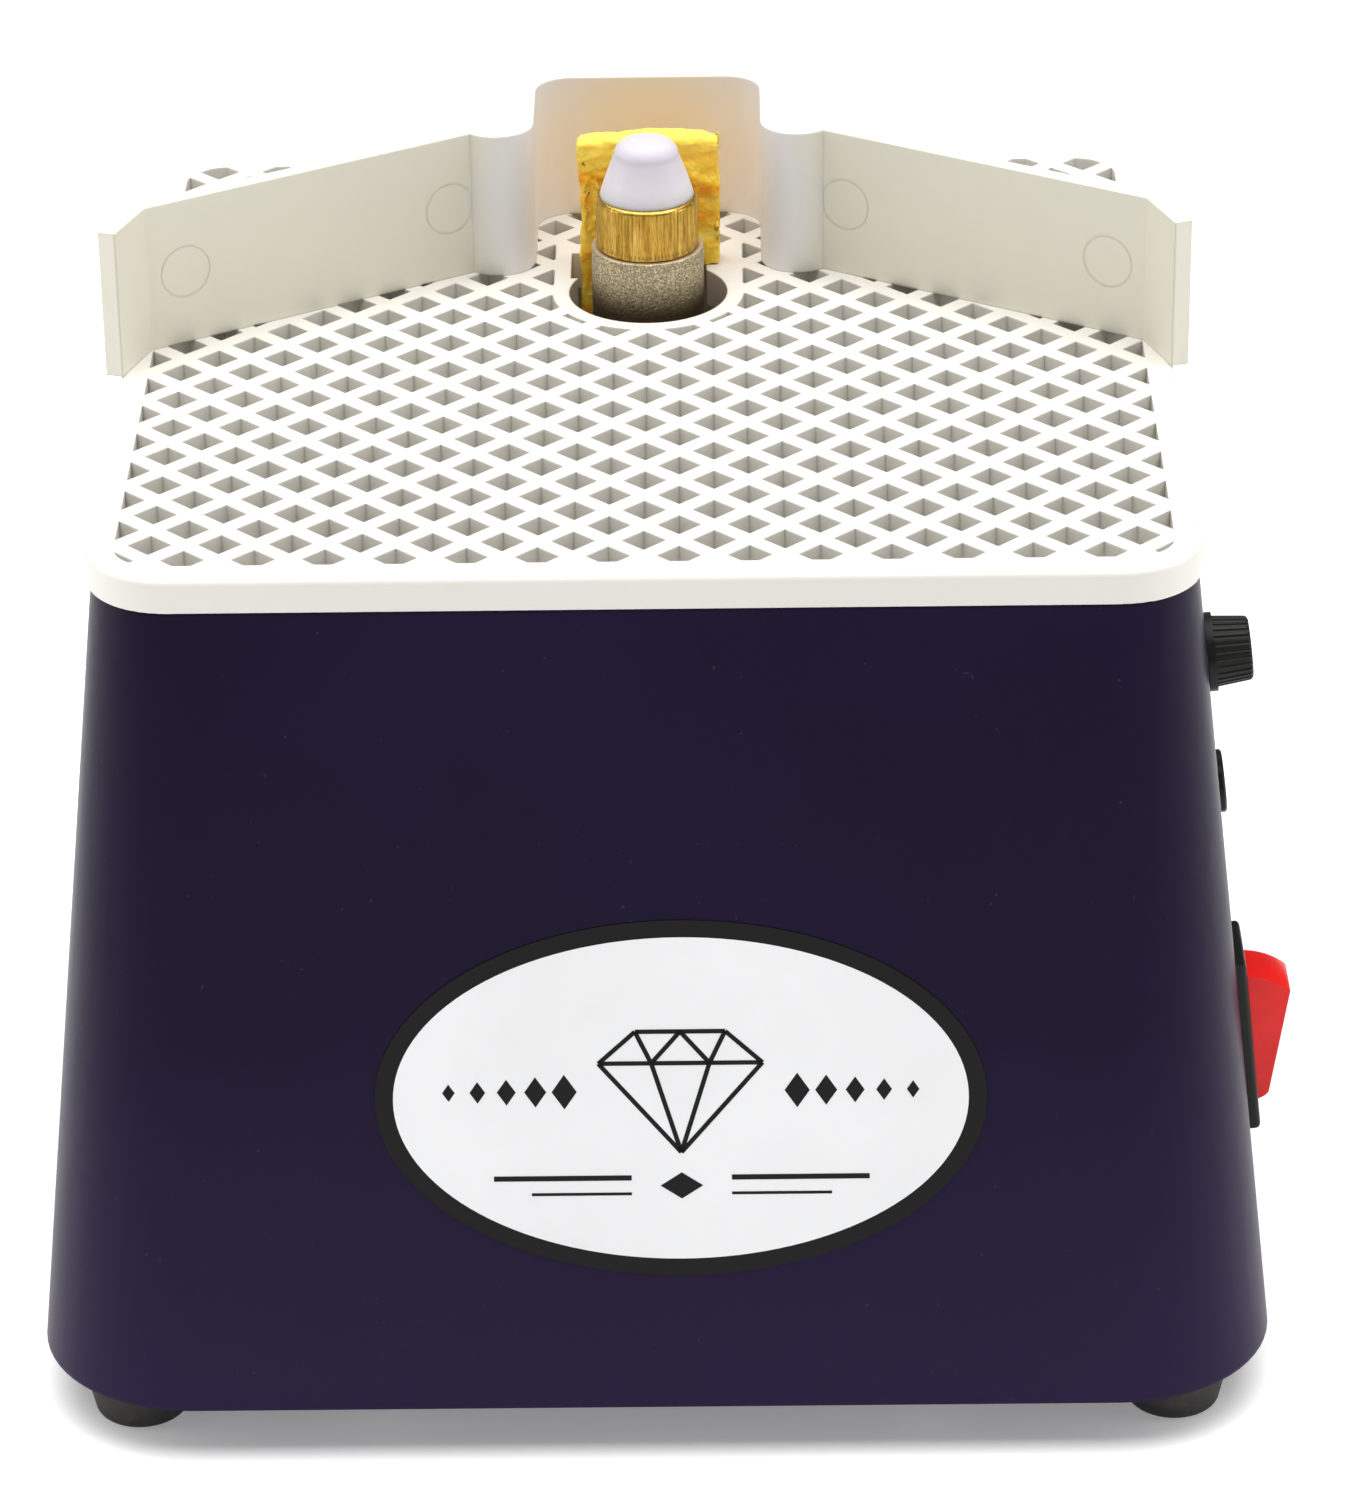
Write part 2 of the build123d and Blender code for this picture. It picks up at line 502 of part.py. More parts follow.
# Two arc magnets on the can's inner wall.
with BuildPart() as motor_magnets:
    with BuildSketch(spindle_level(ROTOR_BOTTOM - 2)):
        Circle(CAN_RADIUS - CAN_WALL)
        Circle(ROTOR_RADIUS + 0.5, mode=Mode.SUBTRACT)
        Rectangle(24, 3 * CAN_RADIUS, mode=Mode.SUBTRACT)
    extrude(amount=ROTOR_TOP - ROTOR_BOTTOM + 4)
motor_magnets.part.label = "motor_magnets"
export_step(motor_magnets.part, "parts/motor_magnets.step")

COMMUTATOR_RADIUS, COMMUTATOR_BOTTOM, COMMUTATOR_TOP = 8.0, 38.0, 46.0
BRUSH_REACH, BRUSH_Z = 7.0, 42.0

with BuildPart() as carbon_brushes:
    for side in (-1, 1):
        with Locations((side * (COMMUTATOR_RADIUS + 0.4 + BRUSH_REACH / 2), SPINDLE_Y, BRUSH_Z)):
            Box(BRUSH_REACH, 5, 4.2)
carbon_brushes.part.label = "carbon_brushes"
export_step(carbon_brushes.part, "parts/carbon_brushes.step")

# Each holder is a channel round its brush, on the end cap.
with BuildPart() as brush_holders:
    for side in (-1, 1):
        with Locations((side * 17.5, SPINDLE_Y, CAN_BOTTOM)):
            Box(11, 8, BRUSH_Z - CAN_BOTTOM + 4, align=UP)
        with Locations((side * 14.0, SPINDLE_Y, BRUSH_Z)):
            Box(14, 5.2, 4.2, mode=Mode.SUBTRACT)
brush_holders.part.label = "brush_holders"
export_step(brush_holders.part, "parts/brush_holders.step")

SHAFT_BOTTOM, SHAFT_TOP = 31.0, TABLE_Z + 14.5
SET_SCREW_Z = TABLE_Z + 12.2
SHAFT_FLAT_Y = SHAFT_RADIUS - 0.8

with BuildPart() as motor_shaft:
    with BuildSketch(spindle_level(SHAFT_BOTTOM)):
        Circle(SHAFT_RADIUS)
    extrude(amount=SHAFT_TOP - SHAFT_BOTTOM)
    chamfer(motor_shaft.edges().filter_by(GeomType.CIRCLE), 0.6)
    # flat for the bit's set screw
    with Locations((0, SPINDLE_Y + SHAFT_FLAT_Y + 1, SHAFT_TOP)):
        Box(8, 2, 30, align=DOWN, mode=Mode.SUBTRACT)
motor_shaft.part.label = "motor_shaft"
export_step(motor_shaft.part, "parts/motor_shaft.step")

with BuildPart() as rotor_core:
    with BuildSketch(spindle_level(ROTOR_BOTTOM)):
        Circle(ROTOR_RADIUS)
        Circle(SHAFT_RADIUS, mode=Mode.SUBTRACT)
        with PolarLocations(ROTOR_RADIUS - 5, ROTOR_SLOTS):
            Rectangle(8, 3.4, mode=Mode.SUBTRACT)
        with PolarLocations(ROTOR_RADIUS, ROTOR_SLOTS):
            Rectangle(3, 1.4, mode=Mode.SUBTRACT)
    extrude(amount=ROTOR_TOP - ROTOR_BOTTOM)
rotor_core.part.label = "rotor_core"
export_step(rotor_core.part, "parts/rotor_core.step")

# Copper bars in the slots, joined by a ring of turns at each end.
with BuildPart() as rotor_windings:
    with BuildSketch(spindle_level(ROTOR_BOTTOM)):
        with PolarLocations(ROTOR_RADIUS - 5, ROTOR_SLOTS):
            Rectangle(7, 3.0)
    extrude(amount=ROTOR_TOP - ROTOR_BOTTOM)
    for bottom in (ROTOR_BOTTOM - 5, ROTOR_TOP):
        with BuildSketch(spindle_level(bottom)):
            Circle(ROTOR_RADIUS - 1.5)
            Circle(9.5, mode=Mode.SUBTRACT)
        extrude(amount=5)
rotor_windings.part.label = "rotor_windings"
export_step(rotor_windings.part, "parts/rotor_windings.step")

with BuildPart() as commutator:
    with BuildSketch(spindle_level(COMMUTATOR_BOTTOM)):
        Circle(COMMUTATOR_RADIUS)
        Circle(SHAFT_RADIUS, mode=Mode.SUBTRACT)
        with PolarLocations(COMMUTATOR_RADIUS, ROTOR_SLOTS):
            Rectangle(2.4, 0.5, mode=Mode.SUBTRACT)
    extrude(amount=COMMUTATOR_TOP - COMMUTATOR_BOTTOM)
commutator.part.label = "commutator"
export_step(commutator.part, "parts/commutator.step")

# Rubber disc in the chimney's mouth that throws the water off.
with BuildPart() as shaft_slinger:
    with BuildSketch(spindle_level(CHIMNEY_TOP - 3.5)):
        Circle(CHIMNEY_BORE - 0.7)
        Circle(SHAFT_RADIUS, mode=Mode.SUBTRACT)
    extrude(amount=2.5)
    with BuildSketch(spindle_level(CHIMNEY_TOP - 9.0)):
        Circle(SHAFT_RADIUS + 2)
        Circle(SHAFT_RADIUS, mode=Mode.SUBTRACT)
    extrude(amount=5.5)
shaft_slinger.part.label = "shaft_slinger"
export_step(shaft_slinger.part, "parts/shaft_slinger.step")

# ---------------------------------------------------------------- grinding head

# Brass core: a sleeve inside the diamond band, and a collar above it.
with BuildPart() as bit_core:
    with BuildSketch(spindle_level(TABLE_Z + BAND_BOTTOM)):
        Circle(CORE_RADIUS)
    extrude(amount=COLLAR_BOTTOM - BAND_BOTTOM)
    with BuildSketch(spindle_level(TABLE_Z + COLLAR_BOTTOM)):
        Circle(COLLAR_RADIUS)
    extrude(amount=COLLAR_TOP - COLLAR_BOTTOM)
    chamfer(bit_core.faces().sort_by(Axis.Z)[-1].edges(), 0.4)
    with BuildSketch(spindle_level(TABLE_Z + BAND_BOTTOM)):
        Circle(SHAFT_RADIUS + SHAFT_FIT)
    extrude(amount=COLLAR_TOP - BAND_BOTTOM, mode=Mode.SUBTRACT)
    # radial hole for the set screw
    with BuildSketch(Plane(origin=(0, SPINDLE_Y, SET_SCREW_Z), z_dir=(0, 1, 0))):
        Circle(1.25)
    extrude(amount=COLLAR_RADIUS + 1, mode=Mode.SUBTRACT)
bit_core.part.label = "bit_core"
export_step(bit_core.part, "parts/bit_core.step")

with BuildPart() as bit_set_screw:
    with BuildSketch(Plane(origin=(0, SPINDLE_Y + SHAFT_FLAT_Y + 0.3, SET_SCREW_Z), z_dir=(0, 1, 0))):
        Circle(1.2)
    extrude(amount=4.4)
    with BuildSketch(Plane(bit_set_screw.faces().sort_by(Axis.Y)[-1])):
        RegularPolygon(0.7, 6)
    extrude(amount=-1.5, mode=Mode.SUBTRACT)
bit_set_screw.part.label = "bit_set_screw"
export_step(bit_set_screw.part, "parts/bit_set_screw.step")

with BuildPart() as diamond_band:
    with BuildSketch(spindle_level(TABLE_Z + BAND_BOTTOM)):
        Circle(BAND_RADIUS)
    extrude(amount=BAND_TOP - BAND_BOTTOM)
    fillet(diamond_band.edges().filter_by(GeomType.CIRCLE), 0.5)
    with BuildSketch(spindle_level(TABLE_Z + BAND_BOTTOM)):
        Circle(CORE_RADIUS)
    extrude(amount=BAND_TOP - BAND_BOTTOM, mode=Mode.SUBTRACT)
diamond_band.part.label = "diamond_band"
export_step(diamond_band.part, "parts/diamond_band.step")

# Nylon cone on top, with a stub that plugs the core's bore.
with BuildPart() as bit_cap:
    with BuildSketch(upright_plane(SPINDLE_Y, TABLE_Z)):
        with BuildLine():
            Line((0, COLLAR_TOP), (CAP_RADIUS, COLLAR_TOP))
            Line((CAP_RADIUS, COLLAR_TOP), (CAP_SHOULDER_RADIUS, CAP_SHOULDER))
            Spline(
                (CAP_SHOULDER_RADIUS, CAP_SHOULDER),
                (0, CAP_TOP),
                tangents=((CAP_SHOULDER_RADIUS - CAP_RADIUS, CAP_SHOULDER - COLLAR_TOP), (-1, 0)),
            )
            Line((0, CAP_TOP), (0, COLLAR_TOP))
        make_face()
    revolve(axis=Axis((0, SPINDLE_Y, 0), (0, 0, 1)))
    with BuildSketch(spindle_level(TABLE_Z + COLLAR_TOP)):
        Circle(SHAFT_RADIUS)
    extrude(amount=-1.0)
bit_cap.part.label = "bit_cap"
export_step(bit_cap.part, "parts/bit_cap.step")

# ---------------------------------------------------------------- power switch

with BuildPart() as switch_body:
    with BuildSketch(side_plane(SWITCH_Z)):
        Rectangle(BEZEL_WIDTH, BEZEL_LENGTH)
    extrude(amount=BEZEL_PROUD)
    outer_face = switch_body.faces().sort_by(Axis((0, 0, 0), side_plane(SWITCH_Z).z_dir))[-1]
    fillet(outer_face.edges(), 0.8)
    with BuildSketch(side_plane(SWITCH_Z)):
        Rectangle(SWITCH_WIDTH, SWITCH_LENGTH)
    extrude(amount=-SWITCH_DEPTH)
    # well for the rocker
    with BuildSketch(side_plane(SWITCH_Z, BEZEL_PROUD)):
        Rectangle(ROCKER_WIDTH + 0.8, 2 * (ROCKER_RADIUS + ROCKER_GAP))
    extrude(amount=-BEZEL_PROUD - ROCKER_RADIUS - 0.6, mode=Mode.SUBTRACT)
    # pivot holes in the side walls
    with BuildSketch(Plane(origin=side_plane(SWITCH_Z, ROCKER_PIVOT).origin, z_dir=(0, 1, 0))):
        Circle(1.05)
    extrude(amount=SWITCH_WIDTH / 2 + 0.2, both=True, mode=Mode.SUBTRACT)
switch_body.part.label = "switch_body"
export_step(switch_body.part, "parts/switch_body.step")

# Rocker in profile: a round belly about the pivot, and an upper end that stands out.
rocker_origin = side_plane(SWITCH_Z, ROCKER_PIVOT).origin
rocker_plane = Plane(origin=rocker_origin, x_dir=side_plane(SWITCH_Z).y_dir, z_dir=(0, 1, 0))
tip_turn = radians(ROCKER_TIP_ANGLE)
ROCKER_TIP = (ROCKER_RADIUS * cos(tip_turn), ROCKER_RADIUS * sin(tip_turn))
ROCKER_HEEL, ROCKER_HEEL_BEND = (1 - ROCKER_RADIUS, 3.4), (0.25 - ROCKER_RADIUS, 2.5)

with BuildPart() as rocker_button:
    with BuildSketch(rocker_plane.offset(-ROCKER_WIDTH / 2)):
        with BuildLine():
            # local x runs up the wall, local y runs outwards from the pivot
            ThreePointArc((-ROCKER_RADIUS, 0), (0, -ROCKER_RADIUS), ROCKER_TIP)
            Line(ROCKER_TIP, ROCKER_HEEL)
            ThreePointArc(ROCKER_HEEL, ROCKER_HEEL_BEND, (-ROCKER_RADIUS, 0))
        make_face()
    extrude(amount=ROCKER_WIDTH)
    # pivot stubs
    with BuildSketch(rocker_plane):
        Circle(1.0)
    extrude(amount=SWITCH_WIDTH / 2, both=True)
rocker_button.part.label = "rocker_button"
export_step(rocker_button.part, "parts/rocker_button.step")

# Three flat terminals on the switch's back.
with BuildPart() as switch_terminals:
    with BuildSketch(side_plane(SWITCH_Z, -SWITCH_DEPTH)):
        with GridLocations(1, 9, 1, 3):
            Rectangle(6.3, 0.8)
    extrude(amount=-8)
switch_terminals.part.label = "switch_terminals"
export_step(switch_terminals.part, "parts/switch_terminals.step")

# ---------------------------------------------------------------- speed control

POT_RADIUS, POT_DEPTH, POT_SHAFT_RADIUS = 8.0, 7.0, 3.0
NUT_THICKNESS, KNOB_GAP = 2.0, 0.3

with BuildPart() as pot_body:
    with BuildSketch(side_plane(KNOB_Z, -WALL)):
        Circle(POT_RADIUS)
    extrude(amount=-POT_DEPTH)
    with BuildSketch(side_plane(KNOB_Z, -WALL)):
        Circle(3.5)
    extrude(amount=WALL + NUT_THICKNESS + 0.5)
    with BuildSketch(side_plane(KNOB_Z, WALL)):
        Circle(POT_SHAFT_RADIUS + 0.05)
    extrude(amount=-2 * WALL - POT_DEPTH + 2, mode=Mode.SUBTRACT)
pot_body.part.label = "pot_body"
export_step(pot_body.part, "parts/pot_body.step")

with BuildPart() as pot_nut:
    with BuildSketch(side_plane(KNOB_Z)):
        RegularPolygon(4.6, 6)
        Circle(3.5, mode=Mode.SUBTRACT)
    extrude(amount=NUT_THICKNESS)
pot_nut.part.label = "pot_nut"
export_step(pot_nut.part, "parts/pot_nut.step")

with BuildPart() as pot_shaft:
    with BuildSketch(side_plane(KNOB_Z, -WALL - 3)):
        Circle(POT_SHAFT_RADIUS)
    extrude(amount=WALL + 3 + KNOB_LENGTH - 1.4)
pot_shaft.part.label = "pot_shaft"
export_step(pot_shaft.part, "parts/pot_shaft.step")

with BuildPart() as speed_knob:
    with BuildSketch(side_plane(KNOB_Z, KNOB_GAP)):
        Circle(KNOB_RADIUS)
    with BuildSketch(side_plane(KNOB_Z, KNOB_LENGTH)):
        Circle(KNOB_END_RADIUS)
    loft()
    fillet(speed_knob.faces().sort_by(Axis.X)[-1].edges(), 0.8)
    # flutes that lean in with the knob's taper
    taper = degrees(atan((KNOB_RADIUS - KNOB_END_RADIUS) / (KNOB_LENGTH - KNOB_GAP)))
    with Locations(side_plane(KNOB_Z)):
        with PolarLocations(KNOB_RADIUS + 0.2, KNOB_FLUTES):
            Cylinder(
                FLUTE_RADIUS, KNOB_LENGTH + 1, rotation=(0, -taper, 0), align=UP, mode=Mode.SUBTRACT
            )
    with BuildSketch(side_plane(KNOB_Z, KNOB_GAP)):
        Circle(KNOB_FLANGE_RADIUS)
    extrude(amount=KNOB_FLANGE)
    # recess for the nut, and the bore for the shaft
    with BuildSketch(side_plane(KNOB_Z, KNOB_GAP)):
        Circle(4.9)
    extrude(amount=NUT_THICKNESS + 0.5, mode=Mode.SUBTRACT)
    with BuildSketch(side_plane(KNOB_Z, KNOB_GAP)):
        Circle(POT_SHAFT_RADIUS)
    extrude(amount=KNOB_LENGTH - KNOB_GAP - 1.4, mode=Mode.SUBTRACT)
    # pointer groove
    with BuildSketch(side_plane(KNOB_Z, KNOB_LENGTH)):
        with Locations((0, KNOB_END_RADIUS / 2 + 0.8)):
            Rectangle(0.7, KNOB_END_RADIUS - 1.6)
    extrude(amount=-0.4, mode=Mode.SUBTRACT)
speed_knob.part.label = "speed_knob"
export_step(speed_knob.part, "parts/speed_knob.step")

# ---------------------------------------------------------------- power inlet

INLET_DEPTH, INLET_BARREL, INLET_BORE = 12.0, 4.0, 3.0

with BuildPart() as power_inlet:
    with BuildSketch(side_plane(INLET_Z)):
        Circle(INLET_RADIUS)
    extrude(amount=INLET_PROUD)
    chamfer(power_inlet.faces().sort_by(Axis.X)[-1].edges(), 0.3)
    with BuildSketch(side_plane(INLET_Z)):
        Circle(INLET_BARREL)
    extrude(amount=-INLET_DEPTH)
    with BuildSketch(side_plane(INLET_Z, INLET_PROUD)):
        Circle(INLET_BORE)
    extrude(amount=-INLET_DEPTH + 1, mode=Mode.SUBTRACT)
power_inlet.part.label = "power_inlet"
export_step(power_inlet.part, "parts/power_inlet.step")

with BuildPart() as inlet_pin:
    with BuildSketch(side_plane(INLET_Z, INLET_PROUD - INLET_DEPTH + 1)):
        Circle(1.0)
    extrude(amount=INLET_DEPTH - 3)
    fillet(inlet_pin.faces().sort_by(Axis.X)[-1].edges(), 0.6)
inlet_pin.part.label = "inlet_pin"
export_step(inlet_pin.part, "parts/inlet_pin.step")

with BuildPart() as inlet_nut:
    with BuildSketch(side_plane(INLET_Z, -WALL)):
        RegularPolygon(6.4, 6)
        Circle(INLET_BARREL, mode=Mode.SUBTRACT)
    extrude(amount=-2.5)
inlet_nut.part.label = "inlet_nut"
export_step(inlet_nut.part, "parts/inlet_nut.step")

# ---------------------------------------------------------------- electronics

with BuildPart() as board_standoffs:
    with Locations(*[(x, y, PLATE_TOP) for x, y in BOARD_HOLES]):
        Cylinder(3.0, STANDOFF_HEIGHT, align=UP)
        Cylinder(1.5, STANDOFF_HEIGHT, align=UP, mode=Mode.SUBTRACT)
board_standoffs.part.label = "board_standoffs"
export_step(board_standoffs.part, "parts/board_standoffs.step")

with BuildPart() as control_board:
    with BuildSketch(level(BOARD_BOTTOM)):
        with Locations((BOARD_X, BOARD_Y)):
            Rectangle(BOARD_WIDTH, BOARD_DEPTH)
        with Locations(*BOARD_HOLES):
            Circle(1.7, mode=Mode.SUBTRACT)
    extrude(amount=BOARD_THICKNESS)
control_board.part.label = "control_board"
export_step(control_board.part, "parts/control_board.step")

board_screws = cross_screws(BOARD_HOLES, BOARD_TOP, *BOARD_SCREW)
board_screws.part.label = "board_screws"
export_step(board_screws.part, "parts/board_screws.step")

with BuildPart() as board_capacitors:
    for dx, radius, height in ((-20, 5.0, 16.0), (-8, 4.0, 12.0)):
        with Locations((BOARD_X + dx, BOARD_Y - 10, BOARD_TOP)):
            Cylinder(radius, height, align=UP)
    fillet(board_capacitors.edges().group_by(Axis.Z)[-1], 0.6)
board_capacitors.part.label = "board_capacitors"
export_step(board_capacitors.part, "parts/board_capacitors.step")

SINK_X, SINK_Y, SINK_WIDTH, FIN_COUNT = BOARD_X - 8.0, BOARD_Y + 2.0, 22.0, 6

with BuildPart() as board_heat_sink:
    with Locations((SINK_X, SINK_Y, BOARD_TOP)):
        Box(SINK_WIDTH, 3, 24, align=UP)
        with Locations((0, 5, 0)):
            with GridLocations((SINK_WIDTH - 1.4) / (FIN_COUNT - 1), 0, FIN_COUNT, 1):
                Box(1.4, 7.5, 24, align=UP)
board_heat_sink.part.label = "board_heat_sink"
export_step(board_heat_sink.part, "parts/board_heat_sink.step")

with BuildPart() as board_transistor:
    with Locations((SINK_X, SINK_Y - 1.5 - 2.25, BOARD_TOP + 4)):
        Box(10, 4.5, 15, align=UP)
    with Locations(*[(SINK_X + dx, SINK_Y - 4.2, BOARD_TOP) for dx in (-2.54, 0, 2.54)]):
        Box(0.8, 0.6, 4, align=UP)
board_transistor.part.label = "board_transistor"
export_step(board_transistor.part, "parts/board_transistor.step")

# ---------------------------------------------------------------- wiring


def wires(routes, bend=4.0):
    """Thin wires along straight runs that arcs join, one for each route."""
    with BuildPart() as bundle:
        for route in routes:
            with BuildLine(mode=Mode.PRIVATE) as path:
                FilletPolyline(*route, radius=bend)
            with BuildSketch(Plane(origin=path.line @ 0, z_dir=path.line % 0)):
                Circle(WIRE_RADIUS)
            sweep(path=path.line)
    return bundle


motor_leads = wires(
    [
        [
            (x, SPINDLE_Y - 16, END_CAP_BOTTOM + 4),
            (x, SPINDLE_Y - 16, 22),
            (x + 12, -30, 22),
            (x + 30, -50 - x / 2, 32),
            (x + 30, -50 - x / 2, BOARD_TOP),
        ]
        for x in (-6, 0)
    ]
)
motor_leads.part.label = "motor_leads"
export_step(motor_leads.part, "parts/motor_leads.step")

TERMINAL_X = half_x(SWITCH_Z) - SWITCH_DEPTH - 8

switch_leads = wires(
    [
        [
            (TERMINAL_X - 1 + dz / 12, CONTROLS_Y, SWITCH_Z - 3.0 + dz),
            (TERMINAL_X - 9, CONTROLS_Y, SWITCH_Z - 3.0 + dz),
            (TERMINAL_X - 9, CONTROLS_Y - 20 - dz, SWITCH_Z - 10),
            (TERMINAL_X - 9, CONTROLS_Y - 20 - dz, BOARD_TOP),
        ]
        for dz in (-9, 0)
    ]
)
switch_leads.part.label = "switch_leads"
export_step(switch_leads.part, "parts/switch_leads.step")
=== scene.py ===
"""Looks of the bench-top glass grinder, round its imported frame. Metres, +Z up, +Y to the back."""

import json
from math import atan2, cos, hypot, pi, radians, sin

import bmesh
import bpy
from mathutils import Matrix, Vector, noise


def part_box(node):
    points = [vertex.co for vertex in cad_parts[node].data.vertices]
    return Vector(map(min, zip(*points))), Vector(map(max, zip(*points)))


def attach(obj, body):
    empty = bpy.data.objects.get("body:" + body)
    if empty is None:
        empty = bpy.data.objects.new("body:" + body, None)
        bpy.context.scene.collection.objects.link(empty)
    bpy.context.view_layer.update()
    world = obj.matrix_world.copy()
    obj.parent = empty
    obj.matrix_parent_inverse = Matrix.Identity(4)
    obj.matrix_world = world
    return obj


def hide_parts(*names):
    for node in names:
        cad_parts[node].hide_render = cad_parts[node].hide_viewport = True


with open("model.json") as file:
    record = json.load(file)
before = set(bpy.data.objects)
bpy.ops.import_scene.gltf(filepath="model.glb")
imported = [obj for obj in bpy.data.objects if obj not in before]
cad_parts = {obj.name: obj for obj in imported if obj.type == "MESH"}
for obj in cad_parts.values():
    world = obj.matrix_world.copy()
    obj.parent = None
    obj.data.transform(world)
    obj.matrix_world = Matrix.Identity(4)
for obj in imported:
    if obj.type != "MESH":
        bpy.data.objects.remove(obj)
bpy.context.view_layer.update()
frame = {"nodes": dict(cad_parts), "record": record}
nodes = frame["nodes"]

MM = 0.001


# ---------------------------------------------------------------- places read from the frame


def middle(node):
    low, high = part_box(node)
    return (Vector(low) + Vector(high)) / 2


SPINDLE = middle("motor_shaft")
TABLE_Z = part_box("work_grid")[1][2]
BAND_LOW, BAND_HIGH = (corner[2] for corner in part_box("diamond_band"))
CORE_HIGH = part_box("bit_core")[1][2]
CAP_LOW, CAP_HIGH = CORE_HIGH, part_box("bit_cap")[1][2]


# ---------------------------------------------------------------- camera, light and floor

CAMERA_PLACE = (0.0126, -0.89986, 0.54795)
CAMERA_YAW, CAMERA_TILT, CAMERA_ROLL = 0.554, 62.355, -0.829
CAMERA_LENS = 141.54
SENSOR_WIDTH = 36.0
WORLD_STRENGTH = 0.16
FLOOR_SIZE = 30.0
FLOOR_WHITE = (0.97, 0.97, 0.97, 1.0)
FLOOR_GLOW = 0.22
WHITE = (1.0, 1.0, 1.0, 1.0)

# name, place, target, size and watts of each rectangular light
LIGHTS = [
    ("overhead", (0.0, 0.05, 1.30), (0.0, 0.05, 0.0), (1.8, 1.4), 31.0),
    ("front_fill", (0.0, -1.5, 0.85), (0.0, 0.0, 0.08), (1.2, 0.7), 1.6),
    ("left_strip", (-0.95, -0.15, 0.35), (0.0, 0.0, 0.08), (0.45, 0.8), 2.3),
    ("right_strip", (0.95, -0.15, 0.35), (0.0, 0.0, 0.08), (0.45, 0.8), 2.3),
]


def add_camera():
    data = bpy.data.cameras.new("camera")
    data.lens = CAMERA_LENS
    data.sensor_width = SENSOR_WIDTH
    data.clip_start = 0.01
    camera = bpy.data.objects.new("camera", data)
    bpy.context.scene.collection.objects.link(camera)
    camera.matrix_world = (
        Matrix.Translation(CAMERA_PLACE)
        @ Matrix.Rotation(radians(CAMERA_YAW), 4, "Z")
        @ Matrix.Rotation(radians(CAMERA_TILT), 4, "X")
        @ Matrix.Rotation(radians(CAMERA_ROLL), 4, "Z")
    )
    bpy.context.scene.camera = camera


def add_area_light(name, place, target, size, watts):
    data = bpy.data.lights.new(name, "AREA")
    data.shape = "RECTANGLE"
    data.size, data.size_y = size
    data.energy = watts
    light = bpy.data.objects.new(name, data)
    bpy.context.scene.collection.objects.link(light)
    light.location = place
    light.rotation_euler = (Vector(target) - Vector(place)).to_track_quat("-Z", "Y").to_euler()


def add_world():
    world = bpy.data.worlds.new("studio")
    world.use_nodes = True
    background = world.node_tree.nodes["Background"]
    background.inputs["Color"].default_value = WHITE
    background.inputs["Strength"].default_value = WORLD_STRENGTH
    bpy.context.scene.world = world


def add_floor():
    bpy.ops.mesh.primitive_plane_add(size=FLOOR_SIZE, location=(0, 0, 0))
    floor = bpy.context.object
    floor.name = "floor"
    paint = bpy.data.materials.new("floor_paint")
    paint.use_nodes = True
    shader = paint.node_tree.nodes["Principled BSDF"]
    shader.inputs["Base Color"].default_value = FLOOR_WHITE
    shader.inputs["Roughness"].default_value = 0.9
    # the floor glows a little, as a light table does
    shader.inputs["Emission Color"].default_value = WHITE
    shader.inputs["Emission Strength"].default_value = FLOOR_GLOW
    floor.data.materials.append(paint)


# ---------------------------------------------------------------- material helpers


